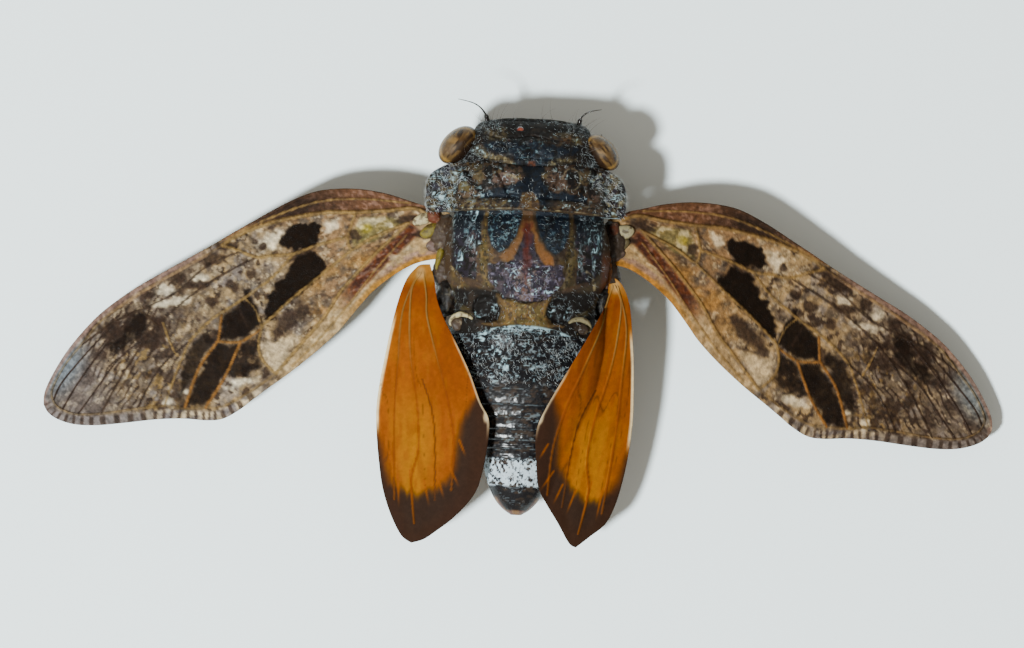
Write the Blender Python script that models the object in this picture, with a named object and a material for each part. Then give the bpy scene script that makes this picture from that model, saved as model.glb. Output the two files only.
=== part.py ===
"""Variable orangewing cicada, life size, standing on the floor with its wings half spread.

The tables are in millimetres and the model in metres.  The head points to +Y, the insect's right side
is +X and the floor is z = 0.
"""
import math

import bmesh
import bpy
import numpy as np
from mathutils import Vector
from mathutils.geometry import delaunay_2d_cdt

MM = 0.001                  # the tables below are in millimetres, the model in metres

# sizes of the insect
BODY_RING = 44              # points round a body ring
LIMB_RING = 8               # points round a leg or feeler
SHEET = 0.50                # thickness of the wing skin
FORE_SWEEP_L = 26.8         # degrees the left forewing points behind straight out
FORE_SWEEP_R = 28.0
FORE_BEND_R = 0.00198       # the right forewing bows forward by this much per mm squared
HIND_SWING_L = 0.9          # degrees outward
HIND_SWING_R = -4.2
FORE_ROOT_L = (-5.87, 1.84)
FORE_ROOT_R = (5.50, 2.00)
HIND_ROOT_L = (-5.64, -0.81)
HIND_ROOT_R = (4.72, -1.05)

for old in list(bpy.data.objects):
    bpy.data.objects.remove(old, do_unlink=True)

PARTS = []


def finish_material(name, colour, rough):
    mat = bpy.data.materials.new(name)
    mat.use_nodes = True
    bsdf = mat.node_tree.nodes["Principled BSDF"]
    bsdf.inputs["Base Color"].default_value = (colour[0], colour[1], colour[2], 1.0)
    bsdf.inputs["Roughness"].default_value = rough
    mat.diffuse_color = (colour[0], colour[1], colour[2], 1.0)
    return mat


def add_part(name, verts, faces, colour, rough=0.4):
    mesh = bpy.data.meshes.new(name)
    mesh.from_pydata([tuple(float(c) * MM for c in v) for v in verts], [], [tuple(f) for f in faces])
    bm = bmesh.new()
    bm.from_mesh(mesh)
    bmesh.ops.recalc_face_normals(bm, faces=bm.faces)
    bm.to_mesh(mesh)
    bm.free()
    mesh.materials.append(finish_material(name + "_finish", colour, rough))
    obj = bpy.data.objects.new(name, mesh)
    bpy.context.scene.collection.objects.link(obj)
    PARTS.append(obj)
    return obj


# smooth tables
def spline(xs, ys, x):
    """Monotone cubic through a small table, so a plate keeps a smooth outline."""
    xs = np.asarray(xs, float)
    ys = np.asarray(ys, float)
    if xs[0] > xs[-1]:
        xs = xs[::-1]
        ys = ys[::-1]
    h = np.diff(xs)
    d = np.diff(ys) / h
    m = np.zeros(len(xs))
    m[0] = d[0]
    m[-1] = d[-1]
    for i in range(1, len(xs) - 1):
        if d[i - 1] * d[i] > 0:
            w1 = 2 * h[i] + h[i - 1]
            w2 = h[i] + 2 * h[i - 1]
            m[i] = (w1 + w2) / (w1 / d[i - 1] + w2 / d[i])
    x = np.clip(x, xs[0], xs[-1])
    k = np.clip(np.searchsorted(xs, x) - 1, 0, len(xs) - 2)
    t = (x - xs[k]) / h[k]
    a = (1 + 2 * t) * (1 - t) ** 2
    b = t * (1 - t) ** 2
    c = t * t * (3 - 2 * t)
    e = t * t * (t - 1)
    return a * ys[k] + b * h[k] * m[k] + c * ys[k + 1] + e * h[k] * m[k + 1]


def bump(x, y, cx, cy, rx, ry):
    return np.exp(-(((x - cx) / rx) ** 2 + ((y - cy) / ry) ** 2))


def bumps(table, x, y):
    """Sum of round swellings and pits.  table rows: height, centre x, centre y, reach in x, reach in y."""
    return sum(high * bump(x, y, cx, cy, rx, ry) for high, cx, cy, rx, ry in table)


def tube_of_rings(rings):
    """Closed solid from equal rings: triangles along the wall, a fan on either end."""
    n = len(rings[0])
    verts = [tuple(p) for ring in rings for p in ring]
    faces = []
    for r in range(len(rings) - 1):
        a = r * n
        b = a + n
        for i in range(n):
            j = (i + 1) % n
            if (i + r) % 2 == 0:
                faces.append((a + i, a + j, b + j))
                faces.append((a + i, b + j, b + i))
            else:
                faces.append((a + i, a + j, b + i))
                faces.append((a + j, b + j, b + i))
    for start, ring in ((0, rings[0]), ((len(rings) - 1) * n, rings[-1])):
        mid = np.mean(np.asarray(ring, float), axis=0)
        verts.append(tuple(mid))
        c = len(verts) - 1
        for i in range(n):
            faces.append((start + i, start + (i + 1) % n, c))
    return verts, faces


# body plates, head to tail
def body_plate(name, table, ys, front, rear, relief, colour, power=2.2, focus=0.0, flange=None, rough=0.4):
    """Loft of superellipse rings across the body.

    table rows: y, half width, top z, bottom z, centre z.  front and rear bow the end faces.
    """
    cols = list(zip(*table))
    rings = []
    y0 = ys[0]
    y1 = ys[-1]
    for y in ys:
        hw, top, bot, zc = (float(spline(cols[0], cols[k], y)) for k in (1, 2, 3, 4))
        t = (y - y1) / (y0 - y1)
        ring = []
        for i in range(BODY_RING):
            tau = 2 * math.pi * i / BODY_RING
            a = tau - focus * math.sin(2 * tau)
            c = math.cos(a)
            s = math.sin(a)
            px = hw * math.copysign(abs(c) ** (2 / power), c)
            reach = (top - zc) if s > 0 else (zc - bot)
            pz = zc + reach * math.copysign(abs(s) ** (2 / power), s)
            if flange is not None and abs(c) > 1e-6:
                side = 1 if c > 0 else -1
                px += side * flange(y, side) * math.exp(-((pz - zc) / LOBE_HALF) ** 4)
            bow = t * front(px) + (1 - t) * rear(px)
            py = y + bow
            if s > 0.02:
                pz += relief(px, py) * min(1.0, (s / 0.35))
            ring.append((px, py, pz))
        rings.append(ring)
    verts, faces = tube_of_rings(rings)
    return add_part(name, verts, faces, colour, rough)


def flat_end(x):
    return 0.0 * x


def no_relief(x, y):
    return 0.0


def nape(x):
    """Seam between head and pronotum, bowed forward at the sides and back round the eyes."""
    beside_eye = min(1.0, max(0.0, abs(x) - 3.0))
    return 0.30 * (1 - math.exp(-(x / 2.2) ** 2)) - 0.45 * beside_eye


def collar(x):
    """Seam between pronotum and mesonotum, swept back at the sides."""
    return -0.011 * x * x


def waist(x):
    """Seam between mesonotum and abdomen, swept back a little at the sides."""
    return -0.012 * x * x


# the three simple eyes, then shapes that either half of the head has
OCELLI = ((0.16, -0.70, 7.42, 0.26, 0.22), (0.14, -1.32, 6.80, 0.22, 0.20), (0.14, -0.06, 6.82, 0.22, 0.20))
HEAD_SHAPES = ((-0.16, 0.0, 6.30, 0.35, 0.70), (0.12, 2.45, 7.30, 0.45, 0.30),
               (-0.12, 1.25, 7.20, 0.35, 0.45),
               (-0.14, 2.70, 6.20, 0.35, 0.60))


def head_relief(x, y):
    return bumps(OCELLI, x, y) + bumps(HEAD_SHAPES, abs(x), y)


HEAD = (
    # y, half width, top, bottom, centre
    (5.67, 3.85, 7.00, 2.90, 4.95),
    (6.20, 3.62, 6.98, 2.60, 4.90),
    (6.60, 3.50, 6.90, 2.50, 4.85),
    (7.00, 3.40, 6.68, 2.45, 4.75),
    (7.40, 3.28, 6.32, 2.50, 4.60),
    (7.70, 3.05, 5.92, 2.65, 4.45),
    (7.92, 2.55, 5.42, 2.95, 4.30),
    (8.05, 1.65, 4.92, 3.40, 4.15),
    (8.12, 0.55, 4.45, 3.80, 4.10),
)
HEAD_POWER = 3.0
body_plate("head", HEAD, [5.67, 6.05, 6.45, 6.8, 7.1, 7.35, 7.6, 7.8, 7.95, 8.05, 8.12],
           nape, flat_end, head_relief, (0.05, 0.045, 0.035), power=HEAD_POWER)


# oblique furrows of either side: slant, place, length along the body, depth
FURROWS = ((0.55, 1.45, 0.8, 0.22), (0.75, 3.05, 0.7, 0.22))
FURROW_HALF = 0.22
PRONOTUM_SHAPES = ((0.15, 0.55, 4.3, 0.30, 0.9), (0.13, 2.2, 4.7, 0.45, 0.5), (0.12, 3.75, 4.4, 0.35, 0.6))


def pronotum_relief(x, y):
    """Raised hind collar, mid ridges and the two oblique furrows of either side."""
    ax = abs(x)
    z = 0.22 / (1 + math.exp((y - 3.50 - collar(x)) / 0.07)) + bumps(PRONOTUM_SHAPES, ax, y)
    for slant, place, length, depth in FURROWS:
        z -= depth * bump(ax - slant * (y - 4.3), y, place, 4.4, FURROW_HALF, length)
    return z


PRONOTUM = (
    (5.37, 3.55, 7.15, 3.10, 5.60),
    (4.90, 4.00, 7.75, 2.95, 5.65),
    (4.20, 4.35, 8.05, 2.80, 5.70),
    (3.40, 4.45, 8.20, 2.75, 5.70),
    (2.92, 4.40, 8.30, 2.80, 5.70),
)


# the side lobes: reach at each y, half height, and how much of the reach either side has
LOBE_YS = (5.37, 5.15, 4.75, 3.9, 3.1, 2.92)
LOBE_REACH = (1.00, 1.25, 1.50, 1.38, 1.25, 1.00)
LOBE_HALF = 0.46
LOBE_SHARE = {-1: 1.08, 1: 0.76}


def lobe(y, side):
    return float(spline(LOBE_YS, LOBE_REACH, y)) * LOBE_SHARE[side]


body_plate("pronotum", PRONOTUM, [5.37, 5.2, 4.95, 4.65, 4.35, 4.05, 3.75, 3.55, 3.42, 3.2, 3.02, 2.92],
           nape, collar, pronotum_relief, (0.10, 0.08, 0.05), power=2.3, focus=0.36, flange=lobe)


# the middle of the cross, its pits, and the furrows of the back
MESONOTUM_SHAPES = ((0.34, 0.0, -2.75, 0.75, 0.75), (-0.42, 2.08, -2.67, 0.50, 0.40),
                    (-0.30, 0.0, -3.45, 0.35, 0.22), (-0.30, 1.45, -3.25, 0.45, 0.25),
                    (-0.06, 0.0, 1.6, 0.20, 1.2), (-0.10, 3.7, 0.0, 0.30, 1.8))


def mesonotum_relief(x, y):
    """The cross-shaped elevation before the waist, with a pit on either side, and the long furrows."""
    ax = abs(x)
    arm = 0.20 * bump(ax + 0.72 * (y + 2.3), y, 1.0, -2.75, 0.42, 0.75)
    furrow = 0.10 * bump(ax - 0.22 * (y - 1.0), y, 2.55, 1.2, 0.16, 1.3)
    return arm - furrow + bumps(MESONOTUM_SHAPES, ax, y)


MESOTHORAX = (
    (2.62, 4.25, 7.75, 2.60, 5.20),
    (2.20, 4.42, 8.15, 2.50, 5.20),
    (1.00, 4.70, 8.60, 2.40, 5.10),
    (-0.60, 4.62, 8.68, 2.40, 5.00),
    (-1.50, 4.22, 8.50, 2.40, 5.00),
    (-2.50, 3.98, 8.20, 2.40, 5.00),
    (-3.20, 4.00, 8.00, 2.40, 5.00),
    (-3.80, 4.12, 7.75, 2.45, 5.00),
)
body_plate("mesothorax", MESOTHORAX,
           [2.62, 2.45, 2.1, 1.6, 1.0, 0.4, -0.2, -0.8, -1.35, -1.8, -2.15, -2.45, -2.7, -2.95, -3.2, -3.45,
            -3.65, -3.8],
           collar, waist, mesonotum_relief, (0.06, 0.05, 0.05), power=2.35)

ABDOMEN = (
    (-4.10, 4.20, 7.70, 2.30, 4.90),
    (-4.60, 4.28, 7.65, 2.10, 4.85),
    (-6.00, 4.12, 7.25, 2.00, 4.75),
    (-7.20, 3.85, 6.85, 1.95, 4.60),
    (-8.40, 3.40, 6.40, 1.95, 4.40),
    (-9.50, 2.90, 5.95, 2.00, 4.20),
    (-10.40, 2.42, 5.55, 2.05, 4.00),
    (-11.20, 2.10, 5.22, 2.10, 3.82),
    (-12.00, 1.88, 4.92, 2.15, 3.65),
    (-12.70, 1.65, 4.62, 2.20, 3.50),
    (-13.50, 1.28, 4.25, 2.30, 3.35),
    (-14.10, 0.75, 3.85, 2.50, 3.25),
    (-14.40, 0.30, 3.50, 2.80, 3.20),
)
ABDOMEN_POWER = 2.05
TERGITE_EDGES = (-7.20, -8.10, -8.80, -9.50, -10.10, -10.60)


def abdomen_relief(x, y):
    z = 0.0
    for edge in TERGITE_EDGES:
        z += 0.05 * math.exp(-((y - edge - 0.10 + 0.008 * x * x) / 0.10) ** 2)
    return z


body_plate("abdomen_front", ABDOMEN, [-4.10, -4.3, -4.6, -5.2, -5.9, -6.6, -7.0, -7.12, -7.25],
           waist, flat_end, abdomen_relief, (0.03, 0.026, 0.024), power=ABDOMEN_POWER)
body_plate("abdomen_middle", ABDOMEN, [-7.55, -7.9, -8.02, -8.2, -8.6, -8.75, -8.95, -9.3, -9.42, -9.6, -9.95,
                                       -10.05, -10.25, -10.55, -10.9],
           flat_end, flat_end, abdomen_relief, (0.03, 0.026, 0.024), power=ABDOMEN_POWER)
body_plate("abdomen_band", ABDOMEN, [-11.20, -11.5, -11.9, -12.3, -12.60],
           flat_end, flat_end, no_relief, (0.62, 0.62, 0.60), power=ABDOMEN_POWER, rough=0.8)
body_plate("abdomen_tip", ABDOMEN, [-12.90, -13.2, -13.5, -13.8, -14.1, -14.3, -14.40],
           flat_end, flat_end, no_relief, (0.03, 0.026, 0.024), power=ABDOMEN_POWER)


# eyes
# side: middle, radii along its long side, outward and up, and how far behind its middle its flat seat is
EYES = {
    -1: ((4.20, 6.45, 5.30), (1.30, 0.84, 1.20), -0.58),
    1: ((3.98, 6.38, 5.30), (1.20, 0.76, 1.20), -0.36),
}
EYE_TURN = 44.0             # degrees its long side is turned forward and in
EYE_SEAT_TURN = 16.0        # degrees the seat is turned the same way


def eye(side):
    """Ellipsoid set askew on the side of the head, cut flat where it meets it."""
    middle, radii, seat_depth = EYES[side]
    turn = math.radians(EYE_TURN)
    long_way = (-math.sin(turn), math.cos(turn))
    out_way = (math.cos(turn), math.sin(turn))
    seat = math.radians(EYE_SEAT_TURN)
    face = (math.cos(seat), math.sin(seat))
    rings = []
    steps = 11
    for k in range(steps + 1):
        lat = math.pi * (0.04 + 0.92 * k / steps)
        ring = []
        for i in range(22):
            a = 2 * math.pi * i / 22
            n_out = math.cos(lat)
            n_long = math.sin(lat) * math.cos(a)
            n_up = math.sin(lat) * math.sin(a)
            dx = radii[0] * n_long * long_way[0] + radii[1] * n_out * out_way[0]
            dy = radii[0] * n_long * long_way[1] + radii[1] * n_out * out_way[1]
            behind = seat_depth - (dx * face[0] + dy * face[1])
            if behind > 0:
                dx += behind * face[0]
                dy += behind * face[1]
            ring.append((side * (middle[0] + dx), middle[1] + dy, middle[2] + radii[2] * n_up))
        rings.append(ring)
    return tube_of_rings(rings)


# limbs
def limb(path, radii, flat=None, sides=LIMB_RING, squash=1.0):
    """Tapered limb along a path; flat keeps the underside level at that height."""
    pts = [Vector(p) for p in path]
    rings = []
    for k, p in enumerate(pts):
        ahead = pts[min(k + 1, len(pts) - 1)]
        behind = pts[max(k - 1, 0)]
        d = (ahead - behind).normalized()
        side = d.cross(Vector((0, 0, 1)))
        if side.length < 1e-4:
            side = Vector((1, 0, 0))
        side.normalize()
        up = side.cross(d).normalized()
        ring = []
        for i in range(sides):
            a = 2 * math.pi * (i + 0.5) / sides
            q = p + side * (radii[k] * math.cos(a)) + up * (radii[k] * squash * math.sin(a))
            z = q.z
            if flat is not None and math.sin(a) < 0:
                z = flat if math.sin(a) < -0.5 else max(q.z, flat + 0.05)
            ring.append((q.x, q.y, z))
        rings.append(ring)
    return tube_of_rings(rings)


def both(name, maker, colour, rough=0.4):
    for side, word in ((-1, "left"), (1, "right")):
        verts, faces = maker(side)
        add_part(name.replace("*", word), verts, faces, colour, rough)


both("eye_*", eye, (0.20, 0.14, 0.06), 0.2)


def antenna(side):
    path = [(2.62, 8.02, 5.02), (2.70, 8.22, 5.10), (2.80, 8.40, 5.18), (3.05, 8.66, 5.28),
            (3.40, 8.86, 5.36), (3.85, 8.98, 5.40), (4.30, 9.06, 5.40)]
    if side > 0:
        path = [(2.62, 8.02, 5.02), (2.68, 8.20, 5.10), (2.76, 8.36, 5.18), (2.96, 8.54, 5.28),
                (3.22, 8.66, 5.36), (3.52, 8.74, 5.40), (3.85, 8.80, 5.40)]
    radii = [0.29, 0.31, 0.27, 0.25, 0.25, 0.20, 0.07]
    pts = [(side * p[0], p[1], p[2]) for p in path]
    return limb(pts, radii)


both("antenna_*", antenna, (0.05, 0.04, 0.03))


def rostrum():
    path = [(0, 6.55, 1.98), (0, 6.0, 1.72), (0, 5.2, 1.45), (0, 3.8, 1.30), (0, 2.0, 1.25), (0, 0.2, 1.25),
            (0, -0.9, 1.25)]
    return limb(path, [0.42, 0.42, 0.36, 0.32, 0.28, 0.27, 0.14])


add_part("rostrum", *rostrum(), (0.07, 0.05, 0.03))


# legs: hip, knee, ankle and toe points of the insect's right side
LEGS = {
    "fore": ((1.35, 4.20, 1.85), (4.30, 4.45, 2.55), (4.05, 6.00, 0.92), (3.85, 7.15, 0.33), 0.46, 0.28),
    "mid": ((1.45, 1.10, 1.70), (4.95, 0.80, 2.60), (6.50, 0.90, 0.92), (7.90, 0.60, 0.33), 0.42, 0.26),
    "hind": ((1.50, -1.90, 1.70), (4.55, -2.65, 2.55), (5.45, -6.05, 0.92), (5.35, -7.75, 0.33), 0.44, 0.26),
}


def lerp(a, b, t):
    return tuple(a[k] + (b[k] - a[k]) * t for k in range(3))


def short(a, b, cut_a, cut_b):
    """Ends of a limb piece after a seam is cut off either end."""
    d = math.dist(a, b)
    return lerp(a, b, cut_a / d), lerp(a, b, 1 - cut_b / d)


for leg, (hip, knee, ankle, toe, r_femur, r_tibia) in LEGS.items():
    def femur(side, hip=hip, knee=knee, r=r_femur):
        a, b = short(hip, knee, 0.0, 0.14)
        pts = [lerp(a, b, t) for t in (0, 0.12, 0.3, 0.5, 0.75, 0.92, 1)]
        rr = [r * k for k in (1.0, 1.12, 1.0, 1.1, 0.95, 0.75, 0.62)]
        return limb([(side * p[0], p[1], p[2]) for p in pts], rr)

    def tibia(side, knee=knee, ankle=ankle, r=r_tibia):
        a, b = short(knee, ankle, 0.36, 0.14)
        pts = [lerp(a, b, t) for t in (0, 0.15, 0.5, 0.85, 1)]
        rr = [r * k for k in (0.95, 1.05, 0.95, 1.05, 0.95)]
        return limb([(side * p[0], p[1], p[2]) for p in pts], rr)

    def tarsus(side, ankle=ankle, toe=toe):
        d = Vector(toe) - Vector(ankle)
        d.z = 0
        d.normalize()
        start = Vector((ankle[0], ankle[1], 0.33)) + d * 0.05
        end = Vector((toe[0], toe[1], 0.33))
        pts = [start.lerp(end, t) for t in (0, 0.2, 0.45, 0.5, 0.85, 1)]
        rr = [0.30, 0.32, 0.32, 0.27, 0.30, 0.25]
        return limb([(side * p[0], p[1], p[2]) for p in pts], rr, flat=0.0)

    both("%s_femur_*" % leg, femur, (0.09, 0.06, 0.03))
    both("%s_tibia_*" % leg, tibia, (0.09, 0.06, 0.03))
    both("%s_tarsus_*" % leg, tarsus, (0.06, 0.04, 0.02))


# plates under the belly
def operculum(side):
    rings = []
    for y, inner, outer in ((-4.2, 0.7, 3.0), (-4.6, 0.45, 3.15), (-5.2, 0.35, 3.1), (-5.9, 0.45, 2.85),
                            (-6.5, 0.8, 2.3), (-6.75, 1.2, 1.85)):
        ring = []
        mid = (inner + outer) / 2
        half = (outer - inner) / 2
        for i in range(12):
            a = 2 * math.pi * i / 12
            x = mid + half * math.copysign(abs(math.cos(a)) ** 0.7, math.cos(a))
            lift = 0.055 * x * x
            ring.append((side * x, y, 1.28 + lift + 0.27 * math.copysign(abs(math.sin(a)) ** 0.7,
                                                                         math.sin(a))))
        rings.append(ring)
    return tube_of_rings(rings)


both("operculum_*", operculum, (0.12, 0.09, 0.05))


# wings
FORE_EDGE = (
    (-0.45, 1.0), (0.28, 1.67), (1.25, 2.54), (2.56, 3.42), (3.97, 4.06), (5.2, 4.37), (6.89, 4.4),
    (8.66, 4.26), (10.08, 4.14), (11.15, 4.02), (12.58, 3.9), (14.35, 3.76), (16.12, 3.62), (17.39, 3.43),
    (18.91, 3.09), (20.35, 2.54), (21.68, 1.87), (22.9, 1.05), (23.74, 0.32), (24.08, -0.12), (24.08, -0.8),
    (23.69, -1.44), (22.95, -2.08), (21.84, -2.64), (20.37, -3.16), (18.59, -3.74), (17.15, -4.33),
    (15.91, -5.0), (15.02, -5.29), (13.96, -5.21), (13.2, -5.03), (12.06, -4.78), (10.37, -4.44),
    (8.44, -3.94), (6.83, -3.39), (5.73, -2.86), (4.38, -2.25), (3.31, -1.95), (2.21, -1.78), (1.09, -1.80),
)
FORE_FOOT = ((4.82, 0.10), (4.84, 1.1), (4.80, 2.1), (4.95, 2.60))   # plan points along the thorax side
# each vein: half width, height, points
FORE_VEINS = {
    "radius": (0.24, 0.30, ((-0.45, 0.5), (0.2, 1.15), (1.5, 1.6), (3.3, 2.3), (4.6, 2.9), (5.9, 3.3),
                            (7.6, 3.7), (9.0, 3.86), (10.2, 3.86), (11.0, 3.72))),
    "radial_step": (0.16, 0.20, ((3.3, 2.3), (4.3, 1.2))),
    "sector": (0.16, 0.22, ((4.3, 1.2), (6.1, 1.5), (7.5, 1.6), (8.6, 2.0), (9.5, 2.3), (10.2, 3.0),
                            (11.0, 3.72))),
    "sector_outer": (0.13, 0.18, ((9.5, 2.3), (11.0, 2.25), (13.1, 2.0), (15.4, 1.4), (17.6, 0.4),
                                  (19.5, -0.8), (21.3, -2.15))),
    "upper_outer": (0.13, 0.18, ((10.2, 3.0), (12.3, 3.0), (14.4, 2.4), (16.1, 2.3), (18.3, 2.3),
                                 (20.6, 1.9))),
    "median": (0.15, 0.20, ((7.5, 1.6), (9.1, 0.9), (11.0, 0.5), (13.4, 0.1), (15.0, -0.5), (17.2, -1.2),
                            (19.3, -2.75))),
    "basal": (0.16, 0.20, ((0.8, 0.5), (3.0, 0.6), (4.35, 0.45), (4.3, 1.2))),
    "cubitus": (0.15, 0.20, ((4.35, 0.45), (6.4, -0.1), (8.7, -0.7), (10.8, -1.4))),
    "hind_arc": (0.15, 0.20, ((10.8, -1.4), (11.4, -2.2), (11.6, -3.1), (11.25, -4.2))),
    "claval": (0.17, 0.22, ((0.8, 0.5), (3.2, -0.3), (4.7, -0.9), (6.0, -1.5), (7.4, -2.4), (8.7, -3.0),
                            (10.0, -3.62), (11.25, -4.2))),
    "cross_upper": (0.13, 0.18, ((12.6, 0.25), (13.3, -0.9), (13.5, -1.15))),
    "cross_mid": (0.13, 0.18, ((13.5, -1.15), (12.3, -1.7), (10.95, -1.55))),
    "first_apical": (0.13, 0.18, ((12.3, -1.7), (14.0, -3.2), (15.7, -4.3))),
    "second_apical": (0.13, 0.18, ((13.5, -1.15), (15.1, -2.1), (16.8, -3.85))),
    "margin": (0.14, 0.18, ((11.0, 3.72), (12.7, 3.55), (16.2, 3.2), (19.0, 2.7), (20.6, 1.95), (22.1, 1.2),
                            (23.3, 0.25), (23.5, -0.4), (23.3, -0.95), (22.6, -1.6), (21.3, -2.15),
                            (19.3, -2.75), (17.8, -3.25), (16.8, -3.85), (15.7, -4.3), (14.9, -4.62),
                            (13.6, -4.6), (11.25, -4.2))),
}
HIND_EDGE_L = (
    (-0.45, -0.15), (-0.40, 0.35), (-0.22, 0.62), (0.45, 1.12), (1.63, 1.51), (3.39, 1.87), (5.03, 2.12),
    (6.44, 2.32), (7.83, 2.42), (9.21, 2.34), (10.83, 2.12), (12.43, 1.8), (13.9, 1.25), (15.02, 0.6),
    (15.42, 0.0), (15.18, -0.68), (14.68, -1.35), (13.93, -2.23), (13.07, -2.99), (12.23, -3.52),
    (11.18, -3.81), (10.12, -3.95), (8.96, -4.05), (8.04, -3.97), (7.13, -3.45), (5.56, -2.78),
    (4.09, -2.0), (2.75, -1.22), (1.62, -0.7), (0.47, -0.45),
)
HIND_EDGE_R = (
    (-0.35, -0.05), (-0.32, 0.37), (0.17, 0.87), (1.2, 1.32), (2.81, 1.64), (4.42, 1.91), (6.03, 2.1),
    (7.66, 2.24), (9.3, 2.22), (10.73, 2.11), (12.29, 1.85), (13.54, 1.4), (14.4, 0.57), (15.09, -0.14),
    (14.87, -0.57), (13.76, -1.36), (12.76, -2.13), (11.84, -2.68), (10.45, -2.95), (9.38, -3.13),
    (8.5, -3.12), (7.6, -2.85), (6.56, -2.42), (4.83, -1.64), (3.1, -0.86), (1.49, -0.18), (0.82, -0.04),
)
HIND_VEINS = {
    "outer": (0.13, 0.16, ((0.1, 0.5), (2.31, 1.25), (5.21, 1.35), (7.54, 1.39), (9.85, 1.31), (13.0, 1.1))),
    "upper": (0.13, 0.16, ((0.1, 0.35), (1.02, 0.80), (3.1, 0.80), (4.72, 0.65), (6.09, 0.41), (7.6, 0.10),
                           (10.0, -0.1), (11.9, 0.2), (14.3, -0.1))),
    "middle": (0.13, 0.16, ((0.1, 0.2), (1.3, -0.05), (2.46, -0.15), (4.05, -0.62), (5.64, -1.12),
                            (7.34, -1.65), (9.6, -2.1), (12.3, -2.1))),
    "branch": (0.11, 0.14, ((6.1, -0.1), (8.5, -0.9), (12.9, -1.2))),
}


def closest(points, q):
    """Distance from q to a polyline."""
    best = math.inf
    for a, b in zip(points[:-1], points[1:]):
        abx = b[0] - a[0]
        aby = b[1] - a[1]
        t = ((q[0] - a[0]) * abx + (q[1] - a[1]) * aby) / (abx * abx + aby * aby)
        t = min(1.0, max(0.0, t))
        best = min(best, math.hypot(q[0] - a[0] - t * abx, q[1] - a[1] - t * aby))
    return best


def inside(outline, q, margin=0.0):
    hit = False
    n = len(outline)
    for i in range(n):
        a = outline[i]
        b = outline[(i + 1) % n]
        if (a[1] > q[1]) != (b[1] > q[1]):
            x = a[0] + (q[1] - a[1]) * (b[0] - a[0]) / (b[1] - a[1])
            if q[0] < x:
                hit = not hit
    if hit and margin > 0:
        return closest(list(outline) + [outline[0]], q) > margin
    return hit


def smooth_line(points, step):
    """Catmull-Rom through the points, sampled about every step."""
    pts = [np.array(p, float) for p in points]
    out = []
    for i in range(len(pts) - 1):
        p0 = pts[max(i - 1, 0)]
        p1 = pts[i]
        p2 = pts[i + 1]
        p3 = pts[min(i + 2, len(pts) - 1)]
        n = max(1, int(round(np.linalg.norm(p2 - p1) / step)))
        for k in range(n):
            t = k / n
            q = 0.5 * ((2 * p1) + (p2 - p0) * t + (2 * p0 - 5 * p1 + 4 * p2 - p3) * t * t
                       + (3 * p1 - p0 - 3 * p2 + p3) * t ** 3)
            out.append(q)
    out.append(pts[-1])
    return out


def offset_line(line, w):
    out = []
    for i, p in enumerate(line):
        a = line[max(i - 1, 0)]
        b = line[min(i + 1, len(line) - 1)]
        d = b - a
        d = d / max(1e-9, np.linalg.norm(d))
        out.append(p + np.array([-d[1], d[0]]) * w)
    return out


def ridge_height(veins, q):
    h = 0.0
    for half, rise, line in veins:
        d = closest(line, q)
        if d < half:
            h = max(h, rise * (1 - d / half))
    return h


def wing(outline, vein_table, place, top_of, thick_of, spacing):
    """Closed sheet over a plan outline: veins rise in its upper face, both faces share one triangulation."""
    pts = []
    edges = []

    def add_line(line, closed=False):
        start = len(pts)
        for q in line:
            pts.append(Vector((float(q[0]), float(q[1]))))
        for i in range(len(line) - 1):
            edges.append((start + i, start + i + 1))
        if closed:
            edges.append((start + len(line) - 1, start))

    add_line(outline, closed=True)
    veins = []
    for half, rise, raw in vein_table.values():
        line = smooth_line(raw, 1.1)
        veins.append((half, rise, line))
    for half, rise, line in veins:
        keep = [q for q in line if inside(outline, q, 0.12)]
        if len(keep) > 1:
            add_line(keep)
        for w in (-half, half):
            run = []
            for q in offset_line(line, w):
                if inside(outline, q, 0.12):
                    run.append(q)
                else:
                    if len(run) > 1:
                        add_line(run)
                    run = []
            if len(run) > 1:
                add_line(run)
    us = [p[0] for p in outline]
    vs = [p[1] for p in outline]
    u = min(us) + spacing * 0.5
    row = 0
    while u < max(us):
        v = min(vs) + (0.5 * spacing if row % 2 else 0.0)
        while v < max(vs):
            q = (u, v)
            if inside(outline, q, 0.30) and all(closest(line, q) > half + 0.30 for half, rise, line in veins):
                pts.append(Vector(q))
            v += spacing
        u += spacing
        row += 1
    out_v, out_e, out_f, a, b, c = delaunay_2d_cdt(pts, edges, [], 0, 0.03)
    tris = []
    for f in out_f:
        cx = sum(out_v[i][0] for i in f) / 3
        cy = sum(out_v[i][1] for i in f) / 3
        if len(f) == 3 and inside(outline, (cx, cy)):
            tris.append(tuple(f))
    used = sorted(set(i for t in tris for i in t))
    index = {v: k for k, v in enumerate(used)}
    n = len(used)
    top = []
    bottom = []
    for i in used:
        q = (out_v[i][0], out_v[i][1])
        z = top_of(q)
        x, y = place(q)
        top.append((x, y, z + ridge_height(veins, q)))
        bottom.append((x, y, z - thick_of(q)))
    verts = top + bottom
    faces = []
    count = {}
    for t in tris:
        a, b, c = (index[i] for i in t)
        faces.append((a, b, c))
        faces.append((c + n, b + n, a + n))
        for e in ((a, b), (b, c), (c, a)):
            count[e] = count.get(e, 0) + 1
    for (a, b) in list(count):
        if (b, a) not in count:
            faces.append((b, a, a + n))
            faces.append((b, a + n, b + n))
    return verts, faces


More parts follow.
